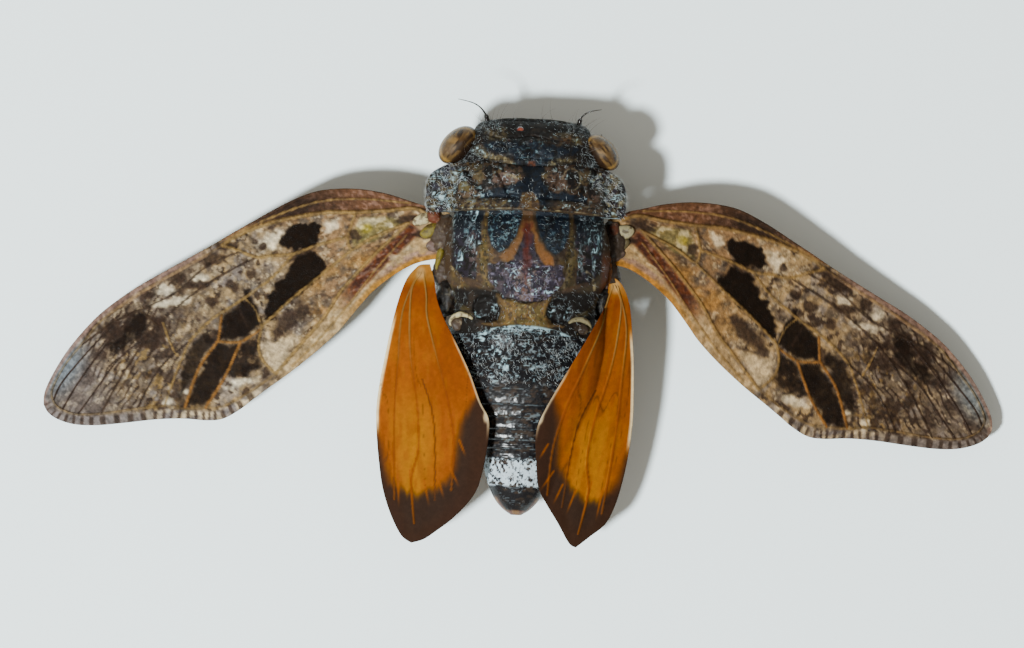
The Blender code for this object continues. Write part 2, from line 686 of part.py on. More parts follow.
def fore_frame(root, sweep, side, bend, along):
    """Forewing: u runs out along the wing, v toward its leading edge.  Returns both ways round."""
    a = math.radians(sweep)
    out = (math.cos(a), -math.sin(a))
    fore = (math.sin(a), math.cos(a))

    def place(q):
        u = q[0] * along
        v = q[1] * along + bend * q[0] * q[0]
        x = side * root[0] + u * out[0] + v * fore[0]
        return side * x, root[1] + u * out[1] + v * fore[1]

    def local(point):
        dx = point[0] - side * root[0]
        dy = point[1] - root[1]
        return (dx * out[0] + dy * out[1]) / along, (dx * fore[0] + dy * fore[1]) / along

    return place, local


def fore_top(q):
    u, v = q
    t = min(1.0, max(0.0, u / 24.0))
    z = 4.75 - 3.30 * t ** 1.05
    z -= 0.045 * (v - 0.5) * (1 - 0.3 * t)
    z += 0.10 * math.sin(math.pi * t) - 0.006 * v * v
    return z


def fore_thick(q):
    return SHEET + 0.55 * math.exp(-(max(0.0, q[0] + 0.6) / 1.1) ** 2)


for word, side, root, sweep, bend, along in (("left", -1, FORE_ROOT_L, FORE_SWEEP_L, 0.0, 1.0),
                                             ("right", 1, FORE_ROOT_R, FORE_SWEEP_R, FORE_BEND_R, 0.99)):
    place, local = fore_frame(root, sweep, side, bend, along)
    edge = [local(p) for p in FORE_FOOT] + list(FORE_EDGE)
    verts, faces = wing(edge, FORE_VEINS, place, fore_top, fore_thick, 1.5)
    add_part("forewing_" + word, verts, faces, (0.30, 0.22, 0.13), 0.5)


def hind_frame(root, swing, side):
    """Hindwing: u runs back along the body, v runs outward from it."""
    a = math.radians(swing)
    ex = (side * math.sin(a), -math.cos(a))
    ey = (side * math.cos(a), math.sin(a))

    def place(q):
        return root[0] + q[0] * ex[0] + q[1] * ey[0], root[1] + q[0] * ex[1] + q[1] * ey[1]
    return place


def abdomen_top(x, y):
    """Height of the abdomen's back at a plan point, or the floor beside it."""
    if y < ABDOMEN[-1][0]:
        return 0.0
    cols = list(zip(*ABDOMEN))
    hw, top, zc = (float(spline(cols[0], cols[k], y)) for k in (1, 2, 4))
    r = abs(x) / hw
    if r >= 1:
        return 0.0
    return zc + (top - zc) * (1 - r ** ABDOMEN_POWER) ** (1 / ABDOMEN_POWER)


# along a hindwing: u, height of its outer edge, rise per mm toward the body
HIND_PITCH = (
    (0.0, 4.95, 0.10), (1.4, 4.98, 0.24), (2.8, 4.95, 0.38), (4.1, 4.85, 0.48), (5.5, 4.65, 0.50),
    (7.0, 4.40, 0.47), (9.0, 4.10, 0.40), (12.0, 3.75, 0.24), (15.4, 3.45, 0.14),
)


def hind_top(place, steep):
    """A hindwing leans on the abdomen like a roof: high beside the back, low at its outer edge."""
    cols = list(zip(*HIND_PITCH))

    def top(q):
        u, v = q
        x, y = place(q)
        z = float(spline(cols[0], cols[1], u)) + steep * float(spline(cols[0], cols[2], u)) * (2.3 - v)
        back = max(abdomen_top(x + dx, y + dy) for dx in (-0.25, 0, 0.25) for dy in (-0.25, 0, 0.25))
        rest = back + SHEET + 0.36
        if rest < z - 0.8:
            return z
        return math.log(math.exp(6 * z) + math.exp(6 * rest)) / 6
    return top


for word, side, root, swing, steep, edge in (("left", -1, HIND_ROOT_L, HIND_SWING_L, 1.0, HIND_EDGE_L),
                                             ("right", 1, HIND_ROOT_R, HIND_SWING_R, 1.12, HIND_EDGE_R)):
    place = hind_frame(root, swing, side)
    verts, faces = wing(edge, HIND_VEINS, place, hind_top(place, steep), lambda q: SHEET, 1.4)
    add_part("hindwing_" + word, verts, faces, (0.55, 0.22, 0.04), 0.4)


# put the box's middle over the origin
low = Vector((math.inf, math.inf, math.inf))
high = -low
for obj in PARTS:
    for v in obj.data.vertices:
        for k in range(3):
            low[k] = min(low[k], v.co[k])
            high[k] = max(high[k], v.co[k])
shift = Vector((-(low.x + high.x) / 2, -(low.y + high.y) / 2, -low.z))
for obj in PARTS:
    for v in obj.data.vertices:
        v.co += shift
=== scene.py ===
"""Variable orangewing cicada: skins, wings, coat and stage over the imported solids.

Sizes are millimetres in the insect's own frame, head to +Y, its right to +X, floor at z = 0.
"""
import math

import bpy
import numpy as np
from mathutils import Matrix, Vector


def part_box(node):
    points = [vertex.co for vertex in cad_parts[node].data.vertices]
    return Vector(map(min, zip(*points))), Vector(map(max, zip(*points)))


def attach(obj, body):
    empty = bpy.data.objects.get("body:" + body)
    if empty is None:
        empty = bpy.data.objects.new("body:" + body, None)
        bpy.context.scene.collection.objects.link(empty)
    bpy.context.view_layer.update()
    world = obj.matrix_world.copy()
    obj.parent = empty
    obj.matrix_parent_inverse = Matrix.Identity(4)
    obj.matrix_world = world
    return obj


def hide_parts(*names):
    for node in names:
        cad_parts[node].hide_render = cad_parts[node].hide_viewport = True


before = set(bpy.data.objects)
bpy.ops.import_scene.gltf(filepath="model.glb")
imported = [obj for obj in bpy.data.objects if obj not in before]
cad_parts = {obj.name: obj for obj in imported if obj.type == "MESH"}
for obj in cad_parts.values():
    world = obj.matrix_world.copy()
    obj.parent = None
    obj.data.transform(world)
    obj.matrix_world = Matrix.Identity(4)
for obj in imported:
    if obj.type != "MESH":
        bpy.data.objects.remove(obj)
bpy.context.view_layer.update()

bl_info = {
    "name": "Variable orangewing cicada",
    "version": (1, 0, 0),
    "blender": (4, 5, 0),
    "location": "3D View > Sidebar > Cicada",
    "description": "Builds the life-size cicada's skins, wings and coat, and its stage",
    "category": "Add Mesh",
}

BODY = "root"
SIDES = ((-1, "left"), (1, "right"))
MM = 0.001

# places shared with the solids, in millimetres
COLLAR_FRONT = 2.62            # y of the mesothorax's front edge on the midline
PHOTO_SCALE = 0.0567           # real millimetres that one pixel of the photograph covers
PHOTO_SIZE = (1024, 648)
THORAX_PIXEL = (527, 262)      # where the insect frame's origin shows in the photograph
PHOTO_ROLL = 2.5               # degrees the insect is turned clockwise in the photograph

thorax_low, thorax_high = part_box("mesothorax")
ORIGIN = Vector(((thorax_low.x + thorax_high.x) / 2, thorax_high.y - COLLAR_FRONT * MM, 0.0))


# colour helpers
def srgb(hex_value):
    """Hex colour to three numbers, still sRGB."""
    return tuple(int(hex_value[i:i + 2], 16) / 255 for i in (1, 3, 5))


def linear(colour):
    """sRGB to linear, for a number or an array."""
    c = np.asarray(colour, float)
    return np.where(c <= 0.04045, c / 12.92, ((c + 0.055) / 1.055) ** 2.4)


def tint(name, description, hex_value):
    return bpy.props.FloatVectorProperty(name=name, description=description, subtype="COLOR_GAMMA", size=3,
                                         min=0.0, max=1.0, default=srgb(hex_value))


def size(name, description, value, low=0.0, high=1000.0):
    return bpy.props.FloatProperty(name=name, description=description, default=value, min=low, max=high)


# smooth tables and fields
def table(xs, ys, x):
    """Monotone cubic through a small table."""
    xs = np.asarray(xs, float)
    ys = np.asarray(ys, float)
    if xs[0] > xs[-1]:
        xs = xs[::-1]
        ys = ys[::-1]
    h = np.diff(xs)
    d = np.diff(ys) / h
    m = np.zeros(len(xs))
    m[0] = d[0]
    m[-1] = d[-1]
    for i in range(1, len(xs) - 1):
        if d[i - 1] * d[i] > 0:
            w1 = 2 * h[i] + h[i - 1]
            w2 = h[i] + 2 * h[i - 1]
            m[i] = (w1 + w2) / (w1 / d[i - 1] + w2 / d[i])
    x = np.clip(np.asarray(x, float), xs[0], xs[-1])
    k = np.clip(np.searchsorted(xs, x) - 1, 0, len(xs) - 2)
    t = (x - xs[k]) / h[k]
    return ((1 + 2 * t) * (1 - t) ** 2 * ys[k] + t * (1 - t) ** 2 * h[k] * m[k]
            + t * t * (3 - 2 * t) * ys[k + 1] + t * t * (t - 1) * h[k] * m[k + 1])


def read_rows(rows, at, *wanted):
    """Smooth values of some columns of a table whose first column is the place."""
    cols = list(zip(*rows))
    return [table(cols[0], cols[k], at) for k in wanted]


def bell(distance, width):
    return np.exp(-(distance / width) ** 2)


def bumps(x, y, rows):
    """Sum of round swellings.  rows: height, middle and radii; a height below zero is a dent."""
    return sum(high * np.exp(-(((x - cx) / rx) ** 2 + ((y - cy) / ry) ** 2)) for high, cx, cy, rx, ry in rows)


def step(value, low, high):
    """0 below low, 1 above high, smooth between; turns round when low is above high."""
    t = np.clip((value - low) / (high - low), 0, 1)
    return t * t * (3 - 2 * t)


def lattice(ix, iy, seed):
    n = (ix * 374761393 + iy * 668265263 + seed * 974634777) & 0xFFFFFFFF
    n = ((n ^ (n >> 13)) * 1274126177) & 0xFFFFFFFF
    return ((n ^ (n >> 16)) & 0xFFFF) / 65535.0


def noise(x, y, grain, seed):
    """Smooth lattice noise from -1 to 1, with bumps about one grain wide."""
    px = np.asarray(x, float) / grain
    py = np.asarray(y, float) / grain
    ix = np.floor(px).astype(np.int64)
    iy = np.floor(py).astype(np.int64)
    fx = px - ix
    fy = py - iy
    fx = fx * fx * (3 - 2 * fx)
    fy = fy * fy * (3 - 2 * fy)
    low = lattice(ix, iy, seed) * (1 - fx) + lattice(ix + 1, iy, seed) * fx
    high = lattice(ix, iy + 1, seed) * (1 - fx) + lattice(ix + 1, iy + 1, seed) * fx
    return (low * (1 - fy) + high * fy) * 2 - 1


def cloud(x, y, grain, seed, octaves=3):
    total = 0.0
    weight = 0.0
    for k in range(octaves):
        a = 0.55 ** k
        total = total + a * noise(x + 17.3 * k, y - 9.1 * k, grain * 0.5 ** k, seed + k)
        weight += a
    return total / weight * 1.35


def blots(x, y, grain, seed, low, high):
    """Ragged blots: a cloud cut off between two levels."""
    return step(cloud(x, y, grain, seed), low, high)


def turned(x, y, degrees):
    """A point or vector in axes that are turned anticlockwise."""
    a = math.radians(degrees)
    return x * math.cos(a) + y * math.sin(a), -x * math.sin(a) + y * math.cos(a)


def line_distance(x, y, points):
    """Distance to a polyline, with the share of its length at the nearest place."""
    best = np.full(np.shape(x), 1e9)
    along = np.zeros(np.shape(x))
    n = len(points) - 1
    for i in range(n):
        ax, ay = points[i]
        bx, by = points[i + 1]
        dx = bx - ax
        dy = by - ay
        t = np.clip(((x - ax) * dx + (y - ay) * dy) / max(1e-9, dx * dx + dy * dy), 0, 1)
        d = np.hypot(x - ax - t * dx, y - ay - t * dy)
        along = np.where(d < best, (i + t) / n, along)
        best = np.minimum(best, d)
    return best, along


def patch(x, y, points, soft, ragged=0.0, grain=0.3, seed=5):
    """1 inside a closed outline, fading over soft millimetres; ragged moves the edge by noise."""
    if ragged:
        x = x + ragged * noise(x, y, grain, seed)
        y = y + ragged * noise(x, y, grain, seed + 31)
    inside = np.zeros(np.shape(x), bool)
    n = len(points)
    for i in range(n):
        ax, ay = points[i]
        bx, by = points[(i + 1) % n]
        if ay != by:
            crosses = ((ay > y) != (by > y)) & (x < ax + (y - ay) * (bx - ax) / (by - ay))
            inside ^= crosses
    d, _ = line_distance(x, y, list(points) + [points[0]])
    signed = np.where(inside, d, -d)
    return step(signed, -soft, soft)


def oval(x, y, cx, cy, rx, ry, soft=0.25, angle=0.0, ragged=0.0, seed=3):
    """1 inside an oval; soft is a share of its radius."""
    px, py = turned(x - cx, y - cy, angle)
    r = np.hypot(px / rx, py / ry)
    if ragged:
        r = r + ragged * noise(x, y, 0.22, seed)
    return step(r, 1 + soft, 1 - soft)


class Paint:
    """Colour per vertex, laid on in layers."""

    def __init__(self, count, colour):
        self.rgb = np.tile(np.asarray(colour, float), (count, 1))

    def lay(self, colour, mask):
        m = np.clip(np.asarray(mask, float), 0, 1)[:, None]
        self.rgb = self.rgb * (1 - m) + np.asarray(colour, float) * m

    def shade(self, factor):
        self.rgb = np.clip(self.rgb * np.asarray(factor)[:, None], 0, 1)


# mesh helpers
def smooth_line(points, steps=8):
    """Catmull-Rom through points."""
    pts = [np.array(p, float) for p in points]
    out = []
    for i in range(len(pts) - 1):
        p0 = pts[max(i - 1, 0)]
        p1 = pts[i]
        p2 = pts[i + 1]
        p3 = pts[min(i + 2, len(pts) - 1)]
        for k in range(steps):
            t = k / steps
            out.append(0.5 * (2 * p1 + (p2 - p0) * t + (2 * p0 - 5 * p1 + 4 * p2 - p3) * t * t
                              + (3 * p1 - p0 - 3 * p2 + p3) * t ** 3))
    out.append(pts[-1])
    return np.array(out)


def resampled(line, shares):
    """Points at the given shares of a line's length."""
    seg = np.hypot(*np.diff(line, axis=0).T)
    s = np.concatenate([[0], np.cumsum(seg)])
    return np.stack([np.interp(shares * s[-1], s, line[:, k]) for k in range(line.shape[1])], axis=1)


def grid_faces(rows, cols, wrap):
    """Quads of a rows by cols grid; wrap joins the last column to the first."""
    last = cols if wrap else cols - 1
    r, c = np.meshgrid(np.arange(rows - 1), np.arange(last), indexing="ij")
    a = r * cols + c
    b = r * cols + (c + 1) % cols
    return np.stack([a, b, b + cols, a + cols], axis=-1).reshape(-1, 4)


def ball(lats, lons, margin):
    """A unit ball as rings: across, along and up, open at each pole by the margin in radians."""
    lat = np.linspace(margin, np.pi - margin, lats)[:, None]
    lon = 2 * np.pi * np.arange(lons)[None, :] / lons
    return np.sin(lat) * np.cos(lon), np.sin(lat) * np.sin(lon), np.cos(lat) + 0 * lon


def add_object(name, mesh):
    """Puts a mesh in the scene as a piece that rides on the body."""
    obj = bpy.data.objects.new(name, mesh)
    bpy.context.scene.collection.objects.link(obj)
    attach(obj, BODY)
    return obj


def make_piece(name, verts, faces, material, replaced, rgb, rough, fuzz=None, uv=None):
    """Piece from insect-frame millimetres that stands for some nodes.

    Each point has a colour and a roughness.  Where hair grows, it also has the share of the coat and a
    place on the map.
    """
    mesh = bpy.data.meshes.new(name)
    pts = np.asarray(verts, float) * MM + np.array(ORIGIN)
    mesh.from_pydata(pts.tolist(), [], [tuple(int(i) for i in f) for f in faces])
    mesh.update()
    mesh.shade_smooth()
    rgba = np.ones((len(pts), 4))
    rgba[:, :3] = linear(rgb)
    mesh.attributes.new("paint", "FLOAT_COLOR", "POINT").data.foreach_set("color", rgba.ravel())
    for key, values in (("rough", rough), ("fuzz", fuzz)):
        if values is not None:
            each = np.zeros(len(pts)) + values
            mesh.attributes.new(key, "FLOAT", "POINT").data.foreach_set("value", each)
    if uv is not None:
        index = np.zeros(len(mesh.loops), np.int32)
        mesh.loops.foreach_get("vertex_index", index)
        mesh.uv_layers.new(name="skin_map").data.foreach_set("uv", uv[index].ravel())
    mesh.materials.append(material)
    obj = add_object(name, mesh)
    if replaced:
        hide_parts(*replaced)


# node helper
def add_node(tree, kind, settings=None, **links):
    """A node with its settings and its inputs, each a value or another node's socket.

    An input's key is its name in lower case with underscores, or its number after an i.
    """
    node = tree.nodes.new(kind)
    for key, value in (settings or {}).items():
        setattr(node, key, value)
    for key, value in links.items():
        if key[0] == "i" and key[1:].isdigit():
            socket = node.inputs[int(key[1:])]
        else:
            socket = next(s for s in node.inputs if s.enabled and s.name.lower().replace(" ", "_") == key)
        if isinstance(value, bpy.types.NodeSocket):
            tree.links.new(value, socket)
        else:
            socket.default_value = value
    return node


def math_node(tree, operation, first, second):
    """Result of arithmetic on two numbers."""
    return add_node(tree, "ShaderNodeMath", {"operation": operation}, i0=first, i1=second).outputs[0]


def vector_node(tree, operation, first, second):
    """Result of arithmetic on two vectors, or on a vector and a number to scale it by."""
    other = {"scale" if operation == "SCALE" else "i1": second}
    node = add_node(tree, "ShaderNodeVectorMath", {"operation": operation}, i0=first, **other)
    return node.outputs["Value" if operation == "DOT_PRODUCT" else "Vector"]


def painted_surface(name, grain_mm, relief_mm, variation=0.18, coat=0.0, coat_rough=0.12, ior=1.16,
                    sparkle=True):
    """Principled surface that reads its colour and roughness from the skin and adds its fine grain."""
    mat = bpy.data.materials.new(name)
    mat.use_nodes = True
    tree = mat.node_tree
    tree.nodes.clear()
    out = add_node(tree, "ShaderNodeOutputMaterial")
    where = add_node(tree, "ShaderNodeTexCoord").outputs["Object"]
    paint = add_node(tree, "ShaderNodeAttribute", {"attribute_name": "paint"})
    rough = add_node(tree, "ShaderNodeAttribute", {"attribute_name": "rough"})
    speck = add_node(tree, "ShaderNodeTexNoise", scale=1 / (grain_mm * MM), detail=3.0, roughness=0.6,
                     vector=where)
    spread = add_node(tree, "ShaderNodeMapRange", value=speck.outputs["Fac"], from_min=0.25, from_max=0.75,
                      to_min=1 - variation, to_max=1 + variation)
    tone = vector_node(tree, "SCALE", paint.outputs["Color"], spread.outputs["Result"])
    fine = add_node(tree, "ShaderNodeTexNoise", scale=2.2 / (grain_mm * MM), detail=2.0, vector=where)
    lift = add_node(tree, "ShaderNodeBump", strength=1.0, distance=relief_mm * MM, height=fine.outputs["Fac"])
    skin = add_node(tree, "ShaderNodeBsdfPrincipled", base_color=tone,
                    roughness=rough.outputs["Fac"], normal=lift.outputs["Normal"])
    skin.inputs["IOR"].default_value = ior
    if coat:
        # a dull place has hardly any gloss over it
        gloss = add_node(tree, "ShaderNodeMapRange", value=rough.outputs["Fac"], from_min=0.5, from_max=0.75,
                         to_min=coat, to_max=0.1 * coat)
        tree.links.new(gloss.outputs["Result"], skin.inputs["Coat Weight"])
    skin.inputs["Coat Roughness"].default_value = coat_rough
    if sparkle and coat:
        tree.links.new(lift.outputs["Normal"], skin.inputs["Coat Normal"])
    tree.links.new(skin.outputs["BSDF"], out.inputs["Surface"])
    return mat


# body plates, each a row of rings: y, half width, top, bottom and the height of the widest place
HEAD = (
    (5.67, 3.85, 7.0, 2.9, 4.95), (6.2, 3.62, 6.98, 2.6, 4.9), (6.6, 3.5, 6.9, 2.5, 4.85),
    (7.0, 3.4, 6.68, 2.45, 4.75), (7.4, 3.28, 6.32, 2.5, 4.6), (7.7, 3.05, 5.92, 2.65, 4.45),
    (7.92, 2.55, 5.42, 2.95, 4.3), (8.05, 1.65, 4.92, 3.4, 4.15), (8.12, 0.55, 4.45, 3.8, 4.1),
)
PRONOTUM = (
    (5.37, 3.55, 7.15, 3.1, 5.6), (4.9, 4.0, 7.75, 2.95, 5.65), (4.2, 4.35, 8.05, 2.8, 5.7),
    (3.4, 4.45, 8.2, 2.75, 5.7), (2.92, 4.4, 8.3, 2.8, 5.7),
)
MESOTHORAX = (
    (2.62, 4.25, 7.75, 2.6, 5.2), (2.2, 4.42, 8.15, 2.5, 5.2), (1.0, 4.7, 8.6, 2.4, 5.1),
    (-0.6, 4.62, 8.68, 2.4, 5.0), (-1.5, 4.22, 8.5, 2.4, 5.0), (-2.5, 3.98, 8.2, 2.4, 5.0),
    (-3.2, 4.0, 8.0, 2.4, 5.0), (-3.8, 4.12, 7.75, 2.45, 5.0),
)
ABDOMEN = (
    (-4.1, 4.2, 7.7, 2.3, 4.9), (-4.6, 4.28, 7.65, 2.1, 4.85), (-6.0, 4.12, 7.25, 2.0, 4.75),
    (-7.2, 3.85, 6.85, 1.95, 4.6), (-8.4, 3.4, 6.4, 1.95, 4.4), (-9.5, 2.9, 5.95, 2.0, 4.2),
    (-10.4, 2.42, 5.55, 2.05, 4.0), (-11.2, 2.1, 5.22, 2.1, 3.82), (-12.0, 1.88, 4.92, 2.15, 3.65),
    (-12.7, 1.65, 4.62, 2.2, 3.5), (-13.5, 1.28, 4.25, 2.3, 3.35), (-14.1, 0.75, 3.85, 2.5, 3.25),
    (-14.4, 0.3, 3.5, 2.8, 3.2),
)
ABDOMEN_POWER = 2.05           # 2 makes an oval ring, and more makes a squarer one
RELIEF_FADE = 0.35             # sine round the ring where the relief of the back is whole
FACE_RIDGES = 0.42             # from one cross ridge of the face to the next
TERGITE_EDGES = (-5.35, -7.2, -8.1, -8.8, -9.5, -10.1, -10.6, -11.2, -12.7)
OCELLI = ((-0.7, 7.42), (-1.32, 6.8), (-0.06, 6.82))


def nape(x):
    return 0.3 * (1 - bell(x, 2.2)) - 0.28 * np.clip(np.abs(x) - 3.0, 0, 1)


def collar(x):
    return -0.011 * x * x


def waist(x):
    return -0.012 * x * x


def straight(x):
    return 0.0 * x


def ring_angles(around, power, sides):
    """Angles round a plate, even along the back, wide apart below, and closer at the sides where asked."""
    fine = np.linspace(-0.5 * np.pi, 1.5 * np.pi, 6001)
    c = np.cos(fine)
    s = np.sin(fine)
    across = np.sign(c) * np.abs(c) ** (2 / power)
    up = 0.5 * np.sign(s) * np.abs(s) ** (2 / power)
    weight = 0.35 + 0.65 * step(s, -0.2, 0.15) + sides * bell(s, 0.2)
    share = np.concatenate([[0], np.cumsum(np.hypot(np.diff(across), np.diff(up)) * weight[1:])])
    return np.interp(np.arange(around) / around * share[-1], share, fine)


def plate(rows, ys, power, front, rear, sides=0.0, flange=None, around=400):
    """Rings of one body plate: an array of rings by points by xyz, and each point's sine round the ring."""
    hw, top, bot, mid = (column[:, None] for column in read_rows(rows, ys, 1, 2, 3, 4))
    a = ring_angles(around, power, sides)
    c = np.cos(a)[None, :]
    s = np.sin(a)[None, :]
    x = hw * np.sign(c) * np.abs(c) ** (2 / power)
    z = mid + np.where(s > 0, top - mid, mid - bot) * np.sign(s) * np.abs(s) ** (2 / power)
    if flange is not None:
        ext, half = flange
        reach = table(*ext, ys)[:, None] * np.where(c < 0, 1.08, 0.76)
        x = x + np.sign(c) * reach * np.exp(-((z - mid) / half) ** 4) * (np.abs(c) > 1e-6)
    t = ((ys - ys[-1]) / (ys[0] - ys[-1]))[:, None]
    y = ys[:, None] + t * front(x) + (1 - t) * rear(x)
    return np.stack([x, y, z], axis=-1), np.broadcast_to(s, x.shape)


def close_rings(rings):
    """Vertices and faces of a closed tube with a point at either end."""
    n_rings, n_round, _ = rings.shape
    verts = rings.reshape(-1, 3)
    ends = np.stack([rings[0].mean(axis=0), rings[-1].mean(axis=0)])
    verts = np.concatenate([verts, ends])
    faces = [tuple(f) for f in grid_faces(n_rings, n_round, True)]
    first = n_rings * n_round
    last_row = (n_rings - 1) * n_round
    for i in range(n_round):
        j = (i + 1) % n_round
        faces.append((i, first, j))
        faces.append((last_row + i, last_row + j, first + 1))
    return verts, faces


def outward(verts, faces):
    """Turns every face round if the closed shape is inside out."""
    four = np.array([tuple(f) + (f[-1],) * (4 - len(f)) for f in faces])
    a, b, c, d = (np.asarray(verts)[four[:, k]] for k in range(4))
    volume = (a * (np.cross(b, c) + np.cross(c, d))).sum()
    return faces if volume > 0 else [tuple(reversed(f)) for f in faces]


def lift_back(rings, s, relief, above=0.02):
    """Raises the back of a plate by its relief, which fades out at the sides."""
    rings[..., 2] += np.where(s > above, relief(rings[..., 0], rings[..., 1])
                              * np.clip(s / RELIEF_FADE, 0, 1), 0)


def plate_piece(name, rings, pal, paint, material, replaced):
    """Skin of a body plate, with its colour, roughness and coat."""
    n_rings, n_round, _ = rings.shape
    verts, faces = close_rings(rings)
    rgb, rough, fuzz = paint(pal, *verts.T)
    u = np.tile(np.arange(n_round) / n_round, n_rings)
    v = np.repeat(np.arange(n_rings) / (n_rings - 1), n_round)
    uv = np.stack([u, v], axis=1) * 0.9 + 0.05
    uv = np.concatenate([uv, [[0.5, 0.01], [0.5, 0.99]]])
    make_piece(name, verts, outward(verts, faces), material, replaced, rgb, rough, fuzz, uv)


# shapes in the surface of each plate: the swellings and dents on either side of the midline
HEAD_BUMPS = ((-0.16, 0.0, 6.3, 0.35, 0.7), (0.12, 2.45, 7.3, 0.45, 0.3), (-0.12, 1.25, 7.2, 0.35, 0.45),
              (-0.14, 2.7, 6.2, 0.35, 0.6), (0.07, 1.75, 6.05, 0.8, 0.28))
PRONOTUM_BUMPS = ((0.15, 0.55, 4.3, 0.3, 0.9), (0.13, 2.2, 4.7, 0.45, 0.5), (0.12, 3.75, 4.4, 0.35, 0.6),
                  (-0.1, 0.0, 4.55, 0.2, 0.6), (-0.16, 3.55, 4.95, 0.16, 0.14))
MESONOTUM_BUMPS = ((0.22, 0.0, -2.75, 0.85, 0.75), (-0.3, 0.0, -3.45, 0.35, 0.22),
                   (-0.3, 1.45, -3.25, 0.45, 0.25), (-0.06, 0.0, 1.6, 0.2, 1.2), (-0.1, 3.7, 0.0, 0.3, 1.8))
PITS = ((-2.27, -2.68), (1.98, -2.71))


def head_relief(x, y):
    ax = np.abs(x)
    z = bumps(ax, y, HEAD_BUMPS)
    for cx, cy in OCELLI:
        ring = bell(np.hypot(x - cx, y - cy) - 0.36, 0.08)
        z = z + bumps(x, y, ((0.12, cx, cy, 0.24, 0.22),)) - 0.05 * ring
    z = z - 0.1 * bell(y - 7.0 - 0.1 * np.cos(2.1 * x), 0.07) * step(ax, 3.0, 2.4)
    z = z - 0.08 * bell(y - 5.86 + 0.05 * ax, 0.06)
    return z + 0.035 * cloud(x, y, 0.5, 11) + 0.02 * cloud(x, y, 0.18, 15)


def pronotum_relief(x, y):
    ax = np.abs(x)
    back = y + 0.011 * x * x
    z = bumps(ax, y, PRONOTUM_BUMPS) + 0.22 * step(back, 3.68, 3.32) + 0.06 * bell(back - 2.98, 0.06)
    z = z - 0.08 * bell(back - 3.62, 0.08) * step(ax, 0.3, 0.8)
    for near, slant, length in ((1.45, 0.55, 0.8), (3.05, 0.75, 0.7)):
        z = z - 0.24 * bell(ax - slant * (y - 4.3) - near, 0.16) * bell(y - 4.4, length)
    return z + 0.045 * cloud(x, y, 0.55, 21) + 0.025 * cloud(x, y, 0.2, 25)


def mesonotum_relief(x, y):
    ax = np.abs(x)
    z = bumps(ax, y, MESONOTUM_BUMPS) + 0.16 * patch(x, y, CROSS, 0.12)
    for cx, cy in PITS:
        r = np.hypot(x - cx, y - cy)
        z = z - 0.3 * step(r, 0.8, 0.5) + 0.16 * bell(r, 0.42)
    ridges = ((ax, HIND_RIDGE, 0.14), (ax, REAR_ARM, 0.14), (x, CORDS[0], 0.1), (x, CORDS[1], 0.1))
    for across, line, width in ridges:
        z = z + 0.1 * bell(line_distance(across, y, line)[0], width)
    z = z - 0.12 * step(y + 3.6 + 0.075 * x * x, 0.1, -0.02)
    z = z - 0.1 * bell(ax - 2.55 - 0.22 * (y - 1.0), 0.12) * bell(y - 0.9, 1.6)
    return z + 0.04 * cloud(x, y, 0.6, 31) + 0.022 * cloud(x, y, 0.2, 35)


def abdomen_relief(x, y):
    """Each back plate slopes up to its hind edge and drops to the next."""
    z = 0.0 * y
    line = y + 0.008 * x * x
    for edge, nxt in zip(TERGITE_EDGES[:-1], TERGITE_EDGES[1:]):
        z = z + 0.07 * step(line, nxt + 0.55 * (edge - nxt), nxt + 0.06) * step(line, nxt - 0.03, nxt + 0.05)
    return z + 0.03 * cloud(x, y, 0.45, 41)


# colours of each plate
def squiggles(x, y, grain, seed, amount):
    """Short broken curls, the lying hairs that are too fine to build one by one."""
    line = step(np.abs(noise(x + 0.3 * noise(x, y, 0.3, seed + 1), y, grain, seed)), 0.34, 0.05)
    return line * blots(x, y, 1.6 * grain, seed + 3, 0.55 - 1.1 * amount, 0.95 - 1.1 * amount)


def lay_marks(p, pal, x, y, rows):
    """Lays closed outlines in their order.  rows: colour, share, softness, raggedness, points."""
    for k, (colour, share, soft, ragged, points) in enumerate(rows):
        p.lay(getattr(pal, colour), share * patch(x, y, points, soft, ragged, 0.22, 40 + k))


HEAD_MARKS = (
    ("khaki", 0.45, 0.16, 0.15, ((-2.75, 7.35), (-1.7, 7.5), (-1.2, 7.15), (-1.7, 6.75), (-2.6, 6.85))),
    ("khaki", 0.4, 0.16, 0.15, ((1.15, 7.2), (1.7, 7.5), (2.75, 7.3), (2.6, 6.8), (1.7, 6.7))),
    ("rust", 0.25, 0.12, 0.12, ((1.5, 7.1), (2.1, 7.15), (2.1, 6.8), (1.5, 6.8))),
    ("olive", 0.7, 0.12, 0.12, ((2.2, 7.2), (2.65, 7.1), (2.7, 6.75), (2.3, 6.7))),
    ("navy", 0.92, 0.12, 0.18,
     ((-2.7, 6.72), (-1.6, 6.68), (0.0, 6.75), (1.7, 6.6), (2.9, 6.5), (2.6, 6.1), (1.2, 6.0), (0.8, 5.3),
      (-0.8, 5.3), (-1.1, 6.0), (-2.6, 6.25))),
    ("khaki", 0.5, 0.06, 0.1, ((-2.8, 6.12), (-1.15, 5.82), (-0.95, 5.5), (-1.2, 5.4), (-2.7, 5.72))),
    ("khaki", 0.42, 0.06, 0.1, ((0.75, 5.45), (0.95, 5.78), (2.4, 6.05), (2.75, 5.85), (1.4, 5.45))),
    ("rust", 0.8, 0.07, 0.06, ((-0.24, 5.72), (0.18, 5.72), (0.22, 5.3), (-0.24, 5.3))),
)


